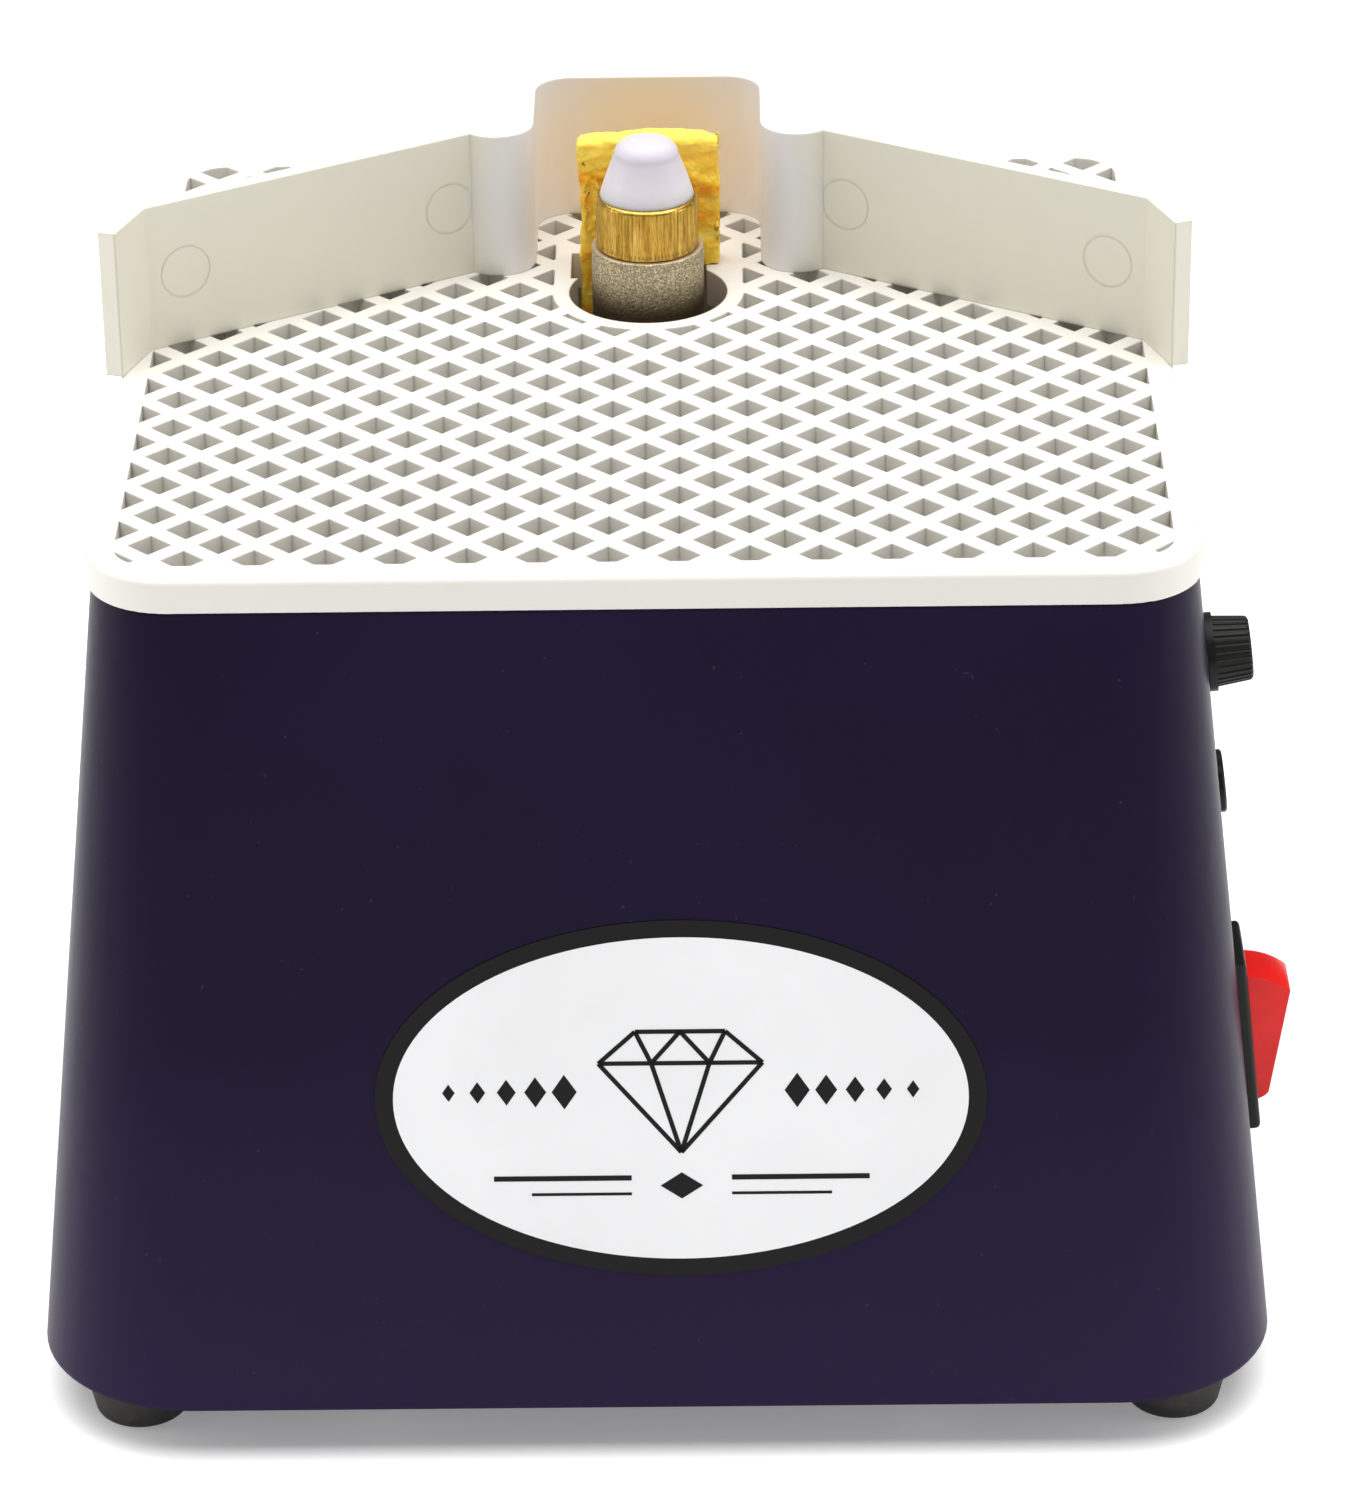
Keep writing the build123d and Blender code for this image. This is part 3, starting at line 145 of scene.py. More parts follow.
class Paint:
    """One Principled material and short ways to add nodes to it."""

    def __init__(self, name, colour, roughness, **values):
        self.material = bpy.data.materials.new(name)
        self.material.use_nodes = True
        self.tree = self.material.node_tree
        self.shader = self.tree.nodes["Principled BSDF"]
        self.set(self.shader, {"Base Color": (*colour, 1.0), "Roughness": roughness, **values})
        self.place = self.node("ShaderNodeTexCoord").outputs["Object"]
        self.normal = None

    def node(self, kind, **inputs):
        made = self.tree.nodes.new(kind)
        self.set(made, inputs)
        return made

    def set(self, node, values):
        for key, value in values.items():
            node.inputs[key].default_value = value

    def link(self, source, target):
        self.tree.links.new(source, target)

    def scaled(self, scale):
        """Object coordinates stretched by a factor for each axis."""
        mapping = self.node("ShaderNodeMapping", Scale=scale)
        self.link(self.place, mapping.inputs["Vector"])
        return mapping.outputs["Vector"]

    def noise(self, scale, detail=4.0, roughness=0.55, place=None):
        made = self.node("ShaderNodeTexNoise", Scale=scale, Detail=detail, Roughness=roughness)
        self.link(place or self.place, made.inputs["Vector"])
        return made.outputs["Fac"]

    def cells(self, scale, feature="F1", place=None):
        made = self.node("ShaderNodeTexVoronoi", Scale=scale)
        made.feature = feature
        self.link(place or self.place, made.inputs["Vector"])
        return made.outputs["Distance"]

    def ramp(self, source, *stops):
        """Colours or greys against the source's value: (position, value) pairs."""
        made = self.node("ShaderNodeValToRGB")
        elements = made.color_ramp.elements
        while len(elements) < len(stops):
            elements.new(0.5)
        for element, (position, value) in zip(elements, stops):
            element.position = position
            element.color = (*value, 1.0) if isinstance(value, tuple) else (value, value, value, 1.0)
        self.link(source, made.inputs["Fac"])
        return made.outputs["Color"]

    def spread(self, source, low, high):
        """The source's 0 to 1 turned into low to high."""
        made = self.node("ShaderNodeMapRange")
        self.set(made, {"To Min": low, "To Max": high})
        self.link(source, made.inputs["Value"])
        return made.outputs["Result"]

    def height(self, low, high):
        """0 at the height low, 1 at high, in the frame's metres."""
        split = self.node("ShaderNodeSeparateXYZ")
        self.link(self.place, split.inputs["Vector"])
        made = self.node("ShaderNodeMapRange")
        self.set(made, {"From Min": low, "From Max": high})
        self.link(split.outputs["Z"], made.inputs["Value"])
        return made.outputs["Result"]

    def near(self, spot, radius):
        """1 at the spot, falling to 0 at the radius."""
        distance = self.node("ShaderNodeVectorMath")
        distance.operation = "DISTANCE"
        distance.inputs[1].default_value = spot
        self.link(self.place, distance.inputs[0])
        made = self.node("ShaderNodeMapRange")
        self.set(made, {"From Min": 0.0, "From Max": radius, "To Min": 1.0, "To Max": 0.0})
        self.link(distance.outputs["Value"], made.inputs["Value"])
        return made.outputs["Result"]

    def mix(self, factor, first, second):
        made = self.tree.nodes.new("ShaderNodeMix")
        made.data_type = "RGBA"
        sockets = [socket for socket in made.inputs if socket.type == "RGBA"]
        for socket, value in zip(sockets, (first, second)):
            if isinstance(value, tuple):
                socket.default_value = (*value, 1.0)
            else:
                self.link(value, socket)
        self.link(factor, made.inputs[0])
        return next(socket for socket in made.outputs if socket.type == "RGBA")

    def bevel(self, radius):
        """Softens the look of sharp moulded edges."""
        made = self.node("ShaderNodeBevel", Radius=radius)
        made.samples = 6
        self.normal = made.outputs["Normal"]
        self.link(self.normal, self.shader.inputs["Normal"])

    def bump(self, height, distance, strength=1.0):
        made = self.node("ShaderNodeBump", Strength=strength, Distance=distance)
        self.link(height, made.inputs["Height"])
        if self.normal is not None:
            self.link(self.normal, made.inputs["Normal"])
        self.normal = made.outputs["Normal"]
        self.link(self.normal, self.shader.inputs["Normal"])

    def colour(self, source):
        self.link(source, self.shader.inputs["Base Color"])

    def roughness(self, source):
        self.link(source, self.shader.inputs["Roughness"])


# ---------------------------------------------------------------- materials


def housing_plastic():
    """Dark purple moulded plastic: faint mottling, fine texture, a little dust, and a painted reflection
    of the floor that lightens it low down.
    """
    paint = Paint("housing_plastic", (0.009, 0.004, 0.026), 0.36)
    paint.set(paint.shader, {"Specular IOR Level": 0.08})
    mottle = paint.noise(14.0, 3.0)
    body = paint.ramp(mottle, (0.30, (0.0065, 0.0030, 0.019)), (0.72, (0.0095, 0.0043, 0.027)))
    # painted reflection: the colour grows lighter low down, standing for the pale floor seen in the
    # plastic
    painted_floor_reflection = paint.ramp(paint.height(0.075, 0.010), (0.0, 0.0), (1.0, 0.8))
    body = paint.mix(painted_floor_reflection, body, (0.020, 0.010, 0.046))
    specks = paint.ramp(paint.noise(900.0, 1.0), (0.76, 0.0), (0.82, 0.12))
    paint.colour(paint.mix(specks, body, (0.16, 0.14, 0.18)))
    smears = paint.noise(24.0, 5.0, 0.7, paint.scaled((1.0, 1.0, 0.25)))
    paint.roughness(paint.spread(smears, 0.27, 0.43))
    paint.bevel(0.8 * MM)
    paint.bump(paint.noise(1800.0, 2.0), 0.02 * MM, 0.35)
    paint.bump(paint.noise(35.0, 2.0), 0.12 * MM, 0.25)
    return paint


def moulded(name, colour, roughness=0.42, edge=0.4 * MM, shade=0.92, gloss=0.5):
    """Plain moulded plastic with uneven colour, fine texture and softened edges."""
    paint = Paint(name, colour, roughness)
    paint.set(paint.shader, {"Specular IOR Level": gloss})
    dull = tuple(channel * shade for channel in colour)
    paint.colour(paint.ramp(paint.noise(22.0, 4.0), (0.34, dull), (0.62, colour)))
    paint.roughness(paint.spread(paint.noise(60.0, 4.0), roughness - 0.07, roughness + 0.09))
    paint.bevel(edge)
    paint.bump(paint.noise(2200.0, 2.0), 0.015 * MM, 0.4)
    return paint


def ivory_plastic():
    """Ivory wings, a whiter middle, and an alcove stained by the water that the bit throws."""
    paint = moulded("ivory_plastic", (0.78, 0.755, 0.645), 0.44, 0.6 * MM, 0.97)
    wing = paint.shader.inputs["Base Color"].links[0].from_socket
    table = Vector((SPINDLE.x, SPINDLE.y, TABLE_Z))
    head = paint.ramp(paint.near(table + Vector((0.0, 0.022, 0.013)), 52 * MM), (0.34, 0.0), (0.44, 1.0))
    clean = paint.mix(head, wing, (0.80, 0.79, 0.79))
    splashed = paint.near(table + Vector((0.0, 0.034, 0.012)), 24 * MM)
    stain = paint.mix(paint.noise(70.0, 4.0), (0.90, 0.72, 0.44), (0.93, 0.77, 0.54))
    paint.colour(paint.mix(paint.ramp(splashed, (0.0, 0.0), (0.6, 0.8)), clean, stain))
    return paint


def tray_plastic():
    """White plastic painted dark grey-brown in blotches as shade under the grid, darker lower down."""
    paint = moulded("tray_plastic", (0.50, 0.45, 0.36), 0.5, 0.5 * MM)
    # painted shade: the white tray is painted dark grey-brown in blotches, darkest low down, so that it
    # throws less light up into the cells
    blotch_noise = paint.noise(120.0, 5.0, 0.65)
    painted_shade_blotches = paint.ramp(blotch_noise, (0.35, (0.26, 0.21, 0.14)), (0.62, (0.50, 0.45, 0.36)))
    rim = paint.height(TABLE_Z - 30 * MM, TABLE_Z - 8 * MM)
    paint.colour(paint.mix(rim, painted_shade_blotches, (0.60, 0.56, 0.48)))
    return paint


def brushed(name, colour, roughness, streak=(1.0, 1.0, 0.04)):
    """Metal with fine drawn streaks."""
    paint = Paint(name, colour, roughness, Metallic=1.0)
    lines = paint.noise(2500.0, 3.0, 0.7, paint.scaled(streak))
    dull = tuple(channel * 0.78 for channel in colour)
    paint.colour(paint.ramp(lines, (0.30, dull), (0.70, colour)))
    paint.roughness(paint.spread(lines, roughness - 0.08, roughness + 0.12))
    paint.bevel(0.15 * MM)
    paint.bump(lines, 0.01 * MM, 0.4)
    return paint


def knurled_brass():
    """Brass with patches of tarnish, and vertical streaks of painted highlight and painted shade for the
    light on the knurled flutes.
    """
    paint = Paint("knurled_brass", (0.80, 0.50, 0.13), 0.26, Metallic=1.0)
    streaks = paint.noise(1300.0, 5.0, 0.8, paint.scaled((1.0, 1.0, 0.06)))
    tarnish = paint.noise(170.0, 3.0)
    # painted highlight and painted shade: the bright and dark vertical streaks stand for the light on
    # the flutes
    with_painted_light = paint.ramp(
        streaks, (0.36, (0.30, 0.17, 0.025)), (0.52, (0.72, 0.45, 0.09)), (0.68, (0.95, 0.72, 0.25))
    )
    paint.colour(paint.mix(paint.ramp(tarnish, (0.45, 0.0), (0.75, 0.5)), with_painted_light, (0.36, 0.19, 0.03)))
    paint.roughness(paint.spread(streaks, 0.40, 0.18))
    paint.bump(streaks, 0.06 * MM, 0.8)
    return paint


def diamond_grit():
    """Plated band of tightly packed grit: grey-brown, with bright facets."""
    paint = Paint("diamond_grit", (0.45, 0.38, 0.24), 0.45, Metallic=0.6)
    grains = paint.cells(2400.0)
    tone = paint.noise(2600.0, 3.0, 0.85)
    body = paint.ramp(
        tone, (0.38, (0.20, 0.15, 0.08)), (0.50, (0.52, 0.44, 0.28)), (0.62, (0.96, 0.88, 0.67))
    )
    gritty = paint.mix(paint.ramp(grains, (0.1, 0.0), (0.7, 0.4)), body, (0.26, 0.20, 0.11))
    # painted highlight: a thin paler ring round the top edge of the band stands for a glint
    rim = paint.height(BAND_HIGH - 0.16 * MM, BAND_HIGH - 0.06 * MM)
    with_painted_light = paint.mix(rim, gritty, (0.52, 0.44, 0.30))
    # wet glass dust and painted shade darken the part that runs down in the hole
    clean = paint.ramp(paint.height(TABLE_Z - 1 * MM, TABLE_Z + 6 * MM), (0.0, 0.0), (1.0, 1.0))
    paint.colour(paint.mix(clean, (0.08, 0.055, 0.025), with_painted_light))
    paint.roughness(paint.spread(tone, 0.60, 0.22))
    paint.bump(grains, 0.12 * MM, 0.9)
    return paint


def nylon():
    """White nylon that light sinks into."""
    paint = Paint("nylon", (0.74, 0.70, 0.76), 0.42)
    paint.set(
        paint.shader,
        {
            "Subsurface Weight": 0.8,
            "Subsurface Scale": 0.005,
            "Subsurface Radius": (1.0, 0.9, 1.0),
            "Specular IOR Level": 0.3,
        },
    )
    body = paint.ramp(paint.noise(90.0, 3.0), (0.3, (0.68, 0.64, 0.69)), (0.7, (0.74, 0.70, 0.75)))
    # painted shade: the cap is painted darker towards its top, to hold back the overhead light
    painted_top_shade = paint.height(CAP_LOW + 3 * MM, CAP_HIGH - 1 * MM)
    paint.colour(paint.mix(painted_top_shade, body, (0.58, 0.55, 0.61)))
    paint.bump(paint.noise(1500.0, 2.0), 0.02 * MM, 0.4)
    return paint


def sponge_foam():
    """Damp yellow cellulose with open pores, painted orange shade in the folds and pores, and painted
    paler highlight on the crests and towards the top.
    """
    paint = Paint("sponge_foam", (0.93, 0.50, 0.02), 0.85)
    paint.set(
        paint.shader,
        {"Subsurface Weight": 0.35, "Subsurface Scale": 0.003, "Subsurface Radius": (1.0, 0.55, 0.12)},
    )
    # painted shade and painted highlight: a noise paints orange shade in folds and paler yellow on
    # crests
    folds = paint.noise(120.0, 6.0, 0.7, paint.scaled((0.7, 1.0, 2.2)))
    body = paint.ramp(
        folds,
        (0.32, (0.88, 0.27, 0.006)),
        (0.43, (1.0, 0.48, 0.018)),
        (0.52, (1.0, 0.62, 0.05)),
        (0.62, (1.0, 0.72, 0.10)),
    )
    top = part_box("sponge")[1][2]
    # painted highlight: the sponge is painted paler towards its top
    lit = paint.ramp(paint.height(top - 7 * MM, top - 1 * MM), (0.0, 0.0), (1.0, 0.75))
    body = paint.mix(lit, body, (1.0, 0.80, 0.13))
    pores = paint.cells(1100.0)
    # painted shade: the pores are painted darker orange where the bump sinks them
    paint.colour(paint.mix(paint.ramp(pores, (0.0, 0.35), (0.20, 0.0)), body, (0.74, 0.24, 0.006)))
    paint.bump(pores, 0.22 * MM, 0.5)
    paint.bump(paint.noise(1700.0, 3.0), 0.10 * MM, 0.7)
    return paint


def clear_red():
    """Red plastic, clear enough to let some light in."""
    paint = Paint("clear_red", (0.95, 0.008, 0.006), 0.24)
    paint.set(paint.shader, {"Transmission Weight": 0.2, "IOR": 1.49, "Specular IOR Level": 0.22})
    cloud = paint.noise(130.0, 3.0)
    paint.colour(paint.ramp(cloud, (0.3, (0.88, 0.006, 0.004)), (0.7, (1.0, 0.014, 0.010))))
    paint.bump(paint.noise(1200.0, 2.0), 0.01 * MM, 0.4)
    return paint


def rubber():
    """Matt black rubber with pale dust in its texture."""
    paint = Paint("rubber", (0.018, 0.017, 0.014), 0.72)
    dust = paint.ramp(paint.noise(420.0, 5.0, 0.7), (0.50, 0.0), (0.78, 0.30))
    paint.colour(paint.mix(dust, (0.016, 0.015, 0.013), (0.09, 0.085, 0.075)))
    paint.bevel(0.4 * MM)
    paint.bump(paint.noise(1400.0, 4.0), 0.04 * MM, 0.6)
    return paint


def printed(name, colour, roughness=0.32, gloss=0.5):
    """Sticker vinyl with a faint orange-peel surface."""
    paint = Paint(name, colour, roughness)
    paint.set(paint.shader, {"Specular IOR Level": gloss})
    dull = tuple(channel * 0.95 for channel in colour)
    paint.colour(paint.ramp(paint.noise(30.0, 3.0), (0.35, dull), (0.65, colour)))
    paint.bump(paint.noise(500.0, 2.0), 0.02 * MM, 0.3)
    return paint


def circuit_board():
    """Green lacquer with paler copper tracks under it."""
    paint = Paint("circuit_board", (0.015, 0.13, 0.05), 0.3)
    tracks = paint.cells(260.0, "DISTANCE_TO_EDGE")
    paint.colour(paint.ramp(tracks, (0.06, (0.05, 0.26, 0.09)), (0.09, (0.012, 0.11, 0.04))))
    paint.bump(tracks, 0.03 * MM, 0.3)
    return paint


def wound_copper():
    """Enamelled copper wire, turn beside turn."""
    paint = Paint("wound_copper", (0.72, 0.27, 0.11), 0.35, Metallic=1.0)
    turns = paint.node("ShaderNodeTexWave", Scale=900.0, Distortion=2.0)
    paint.link(paint.place, turns.inputs["Vector"])
    # painted shade and painted highlight: the copper is painted dark between the turns and bright on
    # them, following the bump
    paint.colour(paint.ramp(turns.outputs["Fac"], (0.2, (0.35, 0.10, 0.04)), (0.6, (0.82, 0.36, 0.16))))
    paint.bump(turns.outputs["Fac"], 0.2 * MM, 0.7)
    return paint


def make_materials():
    paints = {
        "housing_plastic": housing_plastic(),
        "white_plastic": moulded("white_plastic", (0.77, 0.745, 0.69), 0.40, 0.5 * MM, 0.97),
        "tray_plastic": tray_plastic(),
        "ivory_plastic": ivory_plastic(),
        "black_plastic": moulded("black_plastic", (0.007, 0.007, 0.006), 0.36, 0.08 * MM, 0.8, 0.22),
        "red_plastic": clear_red(),
        "rubber": rubber(),
        "steel": brushed("steel", (0.62, 0.62, 0.64), 0.28),
        "zinc_steel": brushed("zinc_steel", (0.55, 0.56, 0.58), 0.38, (1.0, 0.1, 1.0)),
        "laminations": brushed("laminations", (0.30, 0.30, 0.31), 0.40, (0.05, 0.05, 1.0)),
        "aluminium": brushed("aluminium", (0.72, 0.73, 0.74), 0.34),
        "bronze": brushed("bronze", (0.55, 0.33, 0.14), 0.42),
        "brass": knurled_brass(),
        "diamond_grit": diamond_grit(),
        "nylon": nylon(),
        "sponge": sponge_foam(),
        "label": printed("label_white", (0.86, 0.86, 0.87)),
        "ferrite": moulded("ferrite", (0.045, 0.045, 0.05), 0.6),
        "carbon": moulded("carbon", (0.03, 0.03, 0.03), 0.5),
        "copper": wound_copper(),
        "circuit_board": circuit_board(),
        "capacitor_sleeve": moulded("capacitor_sleeve", (0.03, 0.05, 0.16), 0.25),
        "wire_red": moulded("wire_red", (0.55, 0.03, 0.02), 0.35),
        "wire_black": moulded("wire_black", (0.02, 0.02, 0.02), 0.35),
    }
    return {slot: paint.material for slot, paint in paints.items()}


def dress(piece, material):
    piece.data.materials.clear()
    piece.data.materials.append(material)


def dress_cad_nodes(materials):
    for entry in frame["record"]["subparts"]:
        for slot in nodes[entry["node"]].material_slots:
            slot.material = materials[entry["material_slot"]]


# ---------------------------------------------------------------- mesh helpers


def new_piece(name, mesh, material, body, slot, *replaced):
    piece = bpy.data.objects.new(name, mesh)
    bpy.context.scene.collection.objects.link(piece)
    dress(piece, material)
    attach(piece, body)
    if replaced:
        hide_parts(*replaced)
    return piece


def mesh_of(name, vertices, faces, smooth=True):
    mesh = bpy.data.meshes.new(name)
    mesh.from_pydata([tuple(v) for v in vertices], [], faces)
    mesh.polygons.foreach_set("use_smooth", [smooth] * len(mesh.polygons))
    mesh.update()
    return mesh


def turned(name, profile, steps, offset=None):
    """A closed profile of (radius, height) points turned about the spindle. offset(angle, r, z)
    moves a point in or out."""
    vertices, faces = [], []
    count = len(profile)
    for step in range(steps):
        angle = 2 * pi * step / steps
        for radius, height in profile:
            r = radius + (offset(angle, radius, height) if offset else 0.0)
            vertices.append((SPINDLE.x + r * cos(angle), SPINDLE.y + r * sin(angle), height))
    for step in range(steps):
        after = (step + 1) % steps
        for point in range(count):
            following = (point + 1) % count
            faces.append(
                (
                    step * count + point,
                    after * count + point,
                    after * count + following,
                    step * count + following,
                )
            )
    return mesh_of(name, vertices, faces)


def between(start, end, count):
    """count points from start towards end, without the end itself."""
    a, b = Vector(start), Vector(end)
    return [tuple(a.lerp(b, i / count)) for i in range(count)]


def flat_plate(plane, outline, height, base, name):
    """A thin plate of the outline, from base up to height above the plane."""
    count = len(outline)
    vertices = [plane(x, y, height) for x, y in outline] + [plane(x, y, base) for x, y in outline]
    faces = [tuple(range(count)), tuple(reversed(range(count, 2 * count)))]
    faces += [(count + i, count + (i + 1) % count, (i + 1) % count, i) for i in range(count)]
    return mesh_of(name, vertices, faces, smooth=False)


def join(name, meshes):
    """One mesh from several."""
    work = bmesh.new()
    for mesh in meshes:
        work.from_mesh(mesh)
    joined = bpy.data.meshes.new(name)
    work.to_mesh(joined)
    work.free()
    return joined


# ---------------------------------------------------------------- grinding head

BORE_RADIUS = 4.0 * MM
CORE_RADIUS = 8.0 * MM
BAND_RADIUS = 9.46 * MM
BAND_EDGE = 0.35 * MM
BAND_STEPS = 80
BAND_TURN_STEPS = 300
GRAIN_SIZE = 0.28 * MM
GRIT_HEIGHT = 0.09 * MM
COLLAR_RADIUS = 8.6 * MM
COLLAR_LIP = 0.75 * MM
KNURL_COUNT = 84
KNURL_DEPTH = 0.20 * MM
FLUTE_STEPS = 12
SCREW_HOLE_RADIUS = 1.25 * MM
CAP_BASE, CAP_SHOULDER, CAP_CROWN = 7.95 * MM, 5.45 * MM, 2.8 * MM
CAP_STEPS = 14
CAP_TIP = 0.01 * MM


def build_band(material):
    """The gritty band, with every point pushed in or out by its own grain."""
    radius, edge = BAND_RADIUS, BAND_EDGE
    profile = between((radius, BAND_LOW + edge), (radius, BAND_HIGH - edge), BAND_STEPS)
    profile += [(radius, BAND_HIGH - edge), (radius - 0.15 * edge, BAND_HIGH - 0.4 * edge)]
    profile += [(radius - 0.5 * edge, BAND_HIGH - 0.1 * edge), (radius - edge, BAND_HIGH)]
    profile += [(CORE_RADIUS, BAND_HIGH), (CORE_RADIUS, BAND_LOW), (radius - edge, BAND_LOW)]

    def grain(angle, r, z):
        if r < radius - 0.6 * edge:
            return 0.0
        spot = Vector((r * cos(angle), r * sin(angle), z)) / GRAIN_SIZE
        return GRIT_HEIGHT * noise.noise(spot) + 0.5 * GRIT_HEIGHT * noise.noise(2.3 * spot)

    mesh = turned("diamond_band_grit", profile, BAND_TURN_STEPS, grain)
    new_piece("diamond_band_grit", mesh, material, "head", "diamond_grit", "diamond_band")


def build_collar(material):
    """Brass core and its knurled collar, with plain lips above and below the flutes."""
    collar = COLLAR_RADIUS
    flutes_low, flutes_high = BAND_HIGH + COLLAR_LIP, CORE_HIGH - COLLAR_LIP
    profile = [(BORE_RADIUS, BAND_LOW), (CORE_RADIUS, BAND_LOW), (CORE_RADIUS, BAND_HIGH)]
    profile += [(collar - 0.25 * MM, BAND_HIGH), (collar, BAND_HIGH + 0.2 * MM)]
    profile += [(collar, flutes_low - 0.1 * MM)]
    profile += between((collar, flutes_low), (collar, flutes_high), FLUTE_STEPS)
    profile += [(collar, flutes_high), (collar, flutes_high + 0.1 * MM), (collar, CORE_HIGH - 0.55 * MM)]
    profile += [(collar - 0.3 * MM, CORE_HIGH - 0.12 * MM), (collar - 0.55 * MM, CORE_HIGH)]
    profile += [(BORE_RADIUS, CORE_HIGH)]

    def flute(angle, r, z):
        if r < collar - 0.01 * MM or not flutes_low <= z <= flutes_high:
            return 0.0
        wave = abs(sin(KNURL_COUNT / 2 * angle))
        uneven = noise.noise(Vector((40 * cos(angle), 40 * sin(angle), z / (2.5 * MM))))
        return -KNURL_DEPTH * (1 - wave) - 0.05 * MM * uneven

    mesh = turned("bit_core_knurled", profile, 8 * KNURL_COUNT, flute)
    piece = new_piece("bit_core_knurled", mesh, material, "head", "brass", "bit_core")
    cut_screw_hole(piece)


def cut_screw_hole(piece):
    """Opens the collar over the set screw, which stays inside."""
    screw = middle("bit_set_screw")
    bpy.ops.mesh.primitive_cylinder_add(
        vertices=32,
        radius=SCREW_HOLE_RADIUS,
        depth=6 * MM,
        location=(screw.x, SPINDLE.y + COLLAR_RADIUS - 0.4 * MM, screw.z),
        rotation=(radians(90), 0, 0),
    )
    cutter = bpy.context.object
    cut = piece.modifiers.new("screw_hole", "BOOLEAN")
    cut.operation = "DIFFERENCE"
    cut.object = cutter
    bpy.context.view_layer.objects.active = piece
    bpy.ops.object.modifier_apply(modifier=cut.name)
    bpy.data.objects.remove(cutter)


def build_cap(material):
    """The nylon cone: convex flank, round shoulder, slightly crowned top."""
    base, shoulder = CAP_BASE, CAP_SHOULDER
    flank = CAP_HIGH - CAP_LOW - CAP_CROWN
    profile = [(CAP_TIP, CAP_LOW), (base - 0.2 * MM, CAP_LOW), (base, CAP_LOW + 0.15 * MM)]
    for step in range(1, CAP_STEPS + 1):
        rise = step / CAP_STEPS
        profile.append((base - (base - shoulder) * rise**1.15, CAP_LOW + flank * rise))
    for step in range(1, CAP_STEPS + 1):
        turn = radians(90) * step / CAP_STEPS
        radius = max(shoulder * cos(turn) ** 0.72, 5 * CAP_TIP)
        profile.append((radius, CAP_LOW + flank + CAP_CROWN * sin(turn)))
    profile.append((CAP_TIP, CAP_HIGH))
    mesh = turned("bit_cap_cone", profile, 96)
    new_piece("bit_cap_cone", mesh, material, "head", "nylon", "bit_cap")


# ---------------------------------------------------------------- sponge

SPONGE_VOXEL = 0.45 * MM
SPONGE_SMOOTHING = 14
# noise scale along each axis, and how far that noise pushes the surface in millimetres
LUMP_SCALE, LUMP_PUSH = (110, 90, 120), 0.8
FOLD_SCALE, FOLD_PUSH = (45, 60, 300), 0.7
WRINKLE_SCALE, WRINKLE_PUSH = (380, 380, 760), 0.35
PORE_SCALE, PORE_PUSH = (1300, 1300, 1300), 0.4


def build_sponge(material):
    """A soft crumpled block: the CAD solid remeshed, rounded, then folded and pitted."""
    piece = bpy.data.objects.new("sponge_block", nodes["sponge"].data.copy())
    bpy.context.scene.collection.objects.link(piece)
    bpy.context.view_layer.objects.active = piece
    remesh = piece.modifiers.new("remesh", "REMESH")
    remesh.mode = "VOXEL"
    remesh.voxel_size = SPONGE_VOXEL
    soften = piece.modifiers.new("soften", "SMOOTH")
    soften.iterations = SPONGE_SMOOTHING
    for modifier in (remesh, soften):
        bpy.ops.object.modifier_apply(modifier=modifier.name)
    low, high = (Vector(corner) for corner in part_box("sponge"))
    for vertex in piece.data.vertices:
        vertex.co += crumple(vertex.co, vertex.normal, low, high)
    piece.data.polygons.foreach_set("use_smooth", [True] * len(piece.data.polygons))
    dress(piece, material)
    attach(piece, "wet_sponge")
    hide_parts("sponge")


def crumple(place, normal, low, high):
    """How far a point of the sponge moves: lumps, sideways folds, wrinkles and pores."""
    lump, fold, wrinkle, pore = (
        noise.noise(place * Vector(scale))
        for scale in (LUMP_SCALE, FOLD_SCALE, WRINKLE_SCALE, PORE_SCALE)
    )
    push = LUMP_PUSH * lump + FOLD_PUSH * fold + WRINKLE_PUSH * wrinkle
    push -= PORE_PUSH * max(pore - 0.1, 0.0)
    upper = max((place.z - TABLE_Z) / (high.z - TABLE_Z), 0.0)
    leftness = (high.x - place.x) / (high.x - low.x)
    # the left edge draws in towards the table, the top nods forward and its corners are worn down
    slump = Vector((1.4 * leftness * min(1.0 - upper, 0.6), -1.3 * max(upper - 0.75, 0.0), 0.0))
    slump.z = -3.0 * max(abs(leftness - 0.5) * 2 - 0.75, 0.0) * upper
    inward = 0.35 + 0.65 * min(upper * 8, 1.0)
    moved = (normal * (push - 0.15) * inward + slump) * MM
    moved.x = min(max(moved.x, low.x - place.x), high.x - place.x)
    moved.z = min(moved.z, high.z - place.z)
    return moved


# ---------------------------------------------------------------- label

LABEL_PLATE = 0.30 * MM
LABEL_LAYER = 0.04 * MM
LABEL_BORDER = 2.9 * MM
GEM_RAISE, GEM_SIZE, GEM_LINE = 3.0 * MM, 21.0 * MM, 0.75 * MM
LOZENGE_COUNT, LOZENGE_START, LOZENGE_STEP, LOZENGE_RAISE = 5, 18.5 * MM, 4.6 * MM, 1.5 * MM
# half width of the lozenge beside the gem, and how much smaller each one after it is
LOZENGE_SIZE, LOZENGE_SHRINK = 2.0 * MM, 0.25 * MM
# centre and half sizes of the lozenge between the bars
LOW_LOZENGE = (0.0, -15.0 * MM, 3.4 * MM, 2.3 * MM)
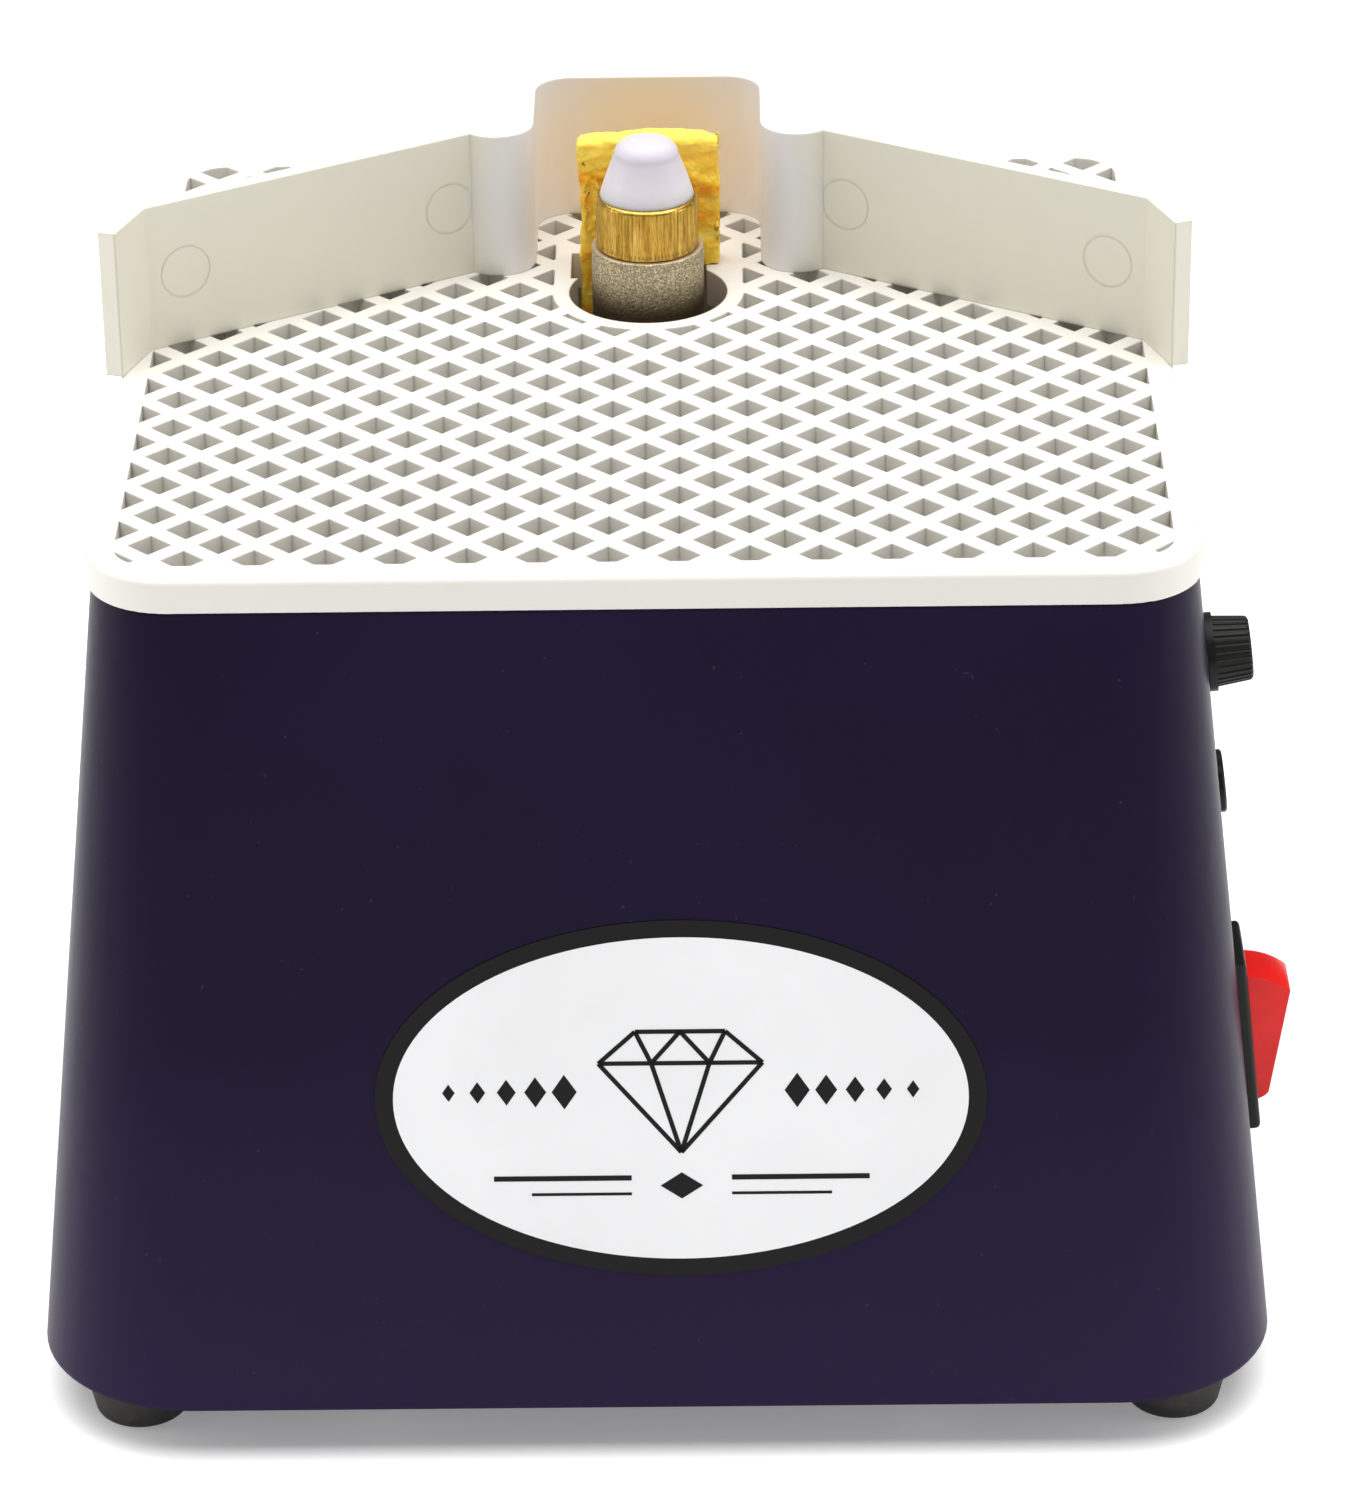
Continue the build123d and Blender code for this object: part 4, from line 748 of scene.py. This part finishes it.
# height on the label, outer end and width of each bar
BARS = [(-13.6 * MM, 30 * MM, 0.9 * MM), (-16.4 * MM, 24 * MM, 0.5 * MM)]
BAR_START = 8 * MM


def label_plane():
    """A function from places on the label to places in the frame, and the label's half sizes."""
    low, high = (Vector(corner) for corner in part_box("front_label"))
    centre = (low + high) / 2
    lean = atan2(high.y - low.y, high.z - low.z)
    up = Vector((0.0, sin(lean), cos(lean)))
    out = Vector((0.0, -cos(lean), sin(lean)))
    half_width = (high.x - low.x) / 2
    half_height = hypot(high.y - low.y, high.z - low.z) / 2
    base = centre - out * LABEL_PLATE / 2

    def place(x, y, height):
        return base + Vector((x, 0, 0)) + up * y + out * height

    return place, half_width, half_height


def ellipse(half_width, half_height, count=128):
    angles = [2 * pi * i / count for i in range(count)]
    return [(half_width * cos(angle), half_height * sin(angle)) for angle in angles]


def stroke(start, end, width):
    """Outline of a straight bar."""
    along = Vector((end[0] - start[0], end[1] - start[1])).normalized()
    side = Vector((-along.y, along.x)) * width / 2
    a, b = Vector(start), Vector(end)
    return [tuple(a - side), tuple(b - side), tuple(b + side), tuple(a + side)]


def gem_strokes(centre_y, size):
    """A cut gem seen from the side: table, girdle and facets, as pairs of points."""
    top, girdle, point = 0.42 * size, 0.16 * size, -0.58 * size
    table_x = (-0.34 * size, 0.0, 0.34 * size)
    girdle_x = (-0.62 * size, -0.22 * size, 0.22 * size, 0.62 * size)
    left, middle_left, middle_right, right = ((x, girdle) for x in girdle_x)
    table_left, table_middle, table_right = ((x, top) for x in table_x)
    lines = [(table_left, table_right), (left, right)]
    lines += [(corner, (0.0, point)) for corner in (left, middle_left, middle_right, right)]
    lines += [(left, table_left), (right, table_right)]
    lines += [(table_left, middle_left), (middle_left, table_middle)]
    lines += [(table_middle, middle_right), (middle_right, table_right)]
    return [((a[0], a[1] + centre_y), (b[0], b[1] + centre_y)) for a, b in lines]


def lozenge(x, y, half_width, half_height):
    return [(x - half_width, y), (x, y - half_height), (x + half_width, y), (x, y + half_height)]


def build_label(white, black):
    place, half_width, half_height = label_plane()
    border = flat_plate(place, ellipse(half_width, half_height), LABEL_PLATE, 0.0, "label_border")
    new_piece("label_border", border, black, "root", "label", "front_label")
    face = flat_plate(
        place,
        ellipse(half_width - LABEL_BORDER, half_height - LABEL_BORDER),
        LABEL_PLATE + LABEL_LAYER,
        LABEL_PLATE,
        "label_face",
    )
    new_piece("label_face", face, white, "root", "label")

    low, high = LABEL_PLATE + LABEL_LAYER, LABEL_PLATE + 2 * LABEL_LAYER
    shapes = [stroke(a, b, GEM_LINE) for a, b in gem_strokes(GEM_RAISE, GEM_SIZE)]
    for side in (-1, 1):
        for step in range(LOZENGE_COUNT):
            size = LOZENGE_SIZE - LOZENGE_SHRINK * step
            x = side * (LOZENGE_START + LOZENGE_STEP * step)
            shapes.append(lozenge(x, LOZENGE_RAISE, size, 1.5 * size))
        for y, end, width in BARS:
            shapes.append(stroke((side * BAR_START, y), (side * end, y), width))
    shapes.append(lozenge(*LOW_LOZENGE))
    parts = [flat_plate(place, shape, high, low, "part") for shape in shapes]
    new_piece("label_emblem", join("label_emblem", parts), black, "root", "label")


# ---------------------------------------------------------------- rocker button

ROCKER_ROUNDING = 0.45 * MM


def build_rocker(material):
    """The button's own solid, with its edges rounded."""
    piece = bpy.data.objects.new("rocker_lens", nodes["rocker_button"].data.copy())
    bpy.context.scene.collection.objects.link(piece)
    bpy.context.view_layer.objects.active = piece
    weld = piece.modifiers.new("weld", "WELD")
    weld.merge_threshold = 0.01 * MM
    rounding = piece.modifiers.new("rounding", "BEVEL")
    rounding.width = ROCKER_ROUNDING
    rounding.segments = 3
    rounding.limit_method = "ANGLE"
    rounding.angle_limit = radians(40)
    for modifier in (weld, rounding):
        bpy.ops.object.modifier_apply(modifier=modifier.name)
    piece.data.polygons.foreach_set("use_smooth", [True] * len(piece.data.polygons))
    dress(piece, material)
    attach(piece, "rocker")
    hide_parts("rocker_button")


# ---------------------------------------------------------------- the scene

add_camera()
add_world()
add_floor()
for light in LIGHTS:
    add_area_light(*light)
bpy.context.scene.view_settings.view_transform = "Standard"

materials = make_materials()
dress_cad_nodes(materials)
build_band(materials["diamond_grit"])
build_collar(materials["brass"])
build_cap(materials["nylon"])
build_sponge(materials["sponge"])
build_label(materials["label"], printed("label_black", (0.006, 0.006, 0.006), 0.4, 0.14).material)
build_rocker(materials["red_plastic"])
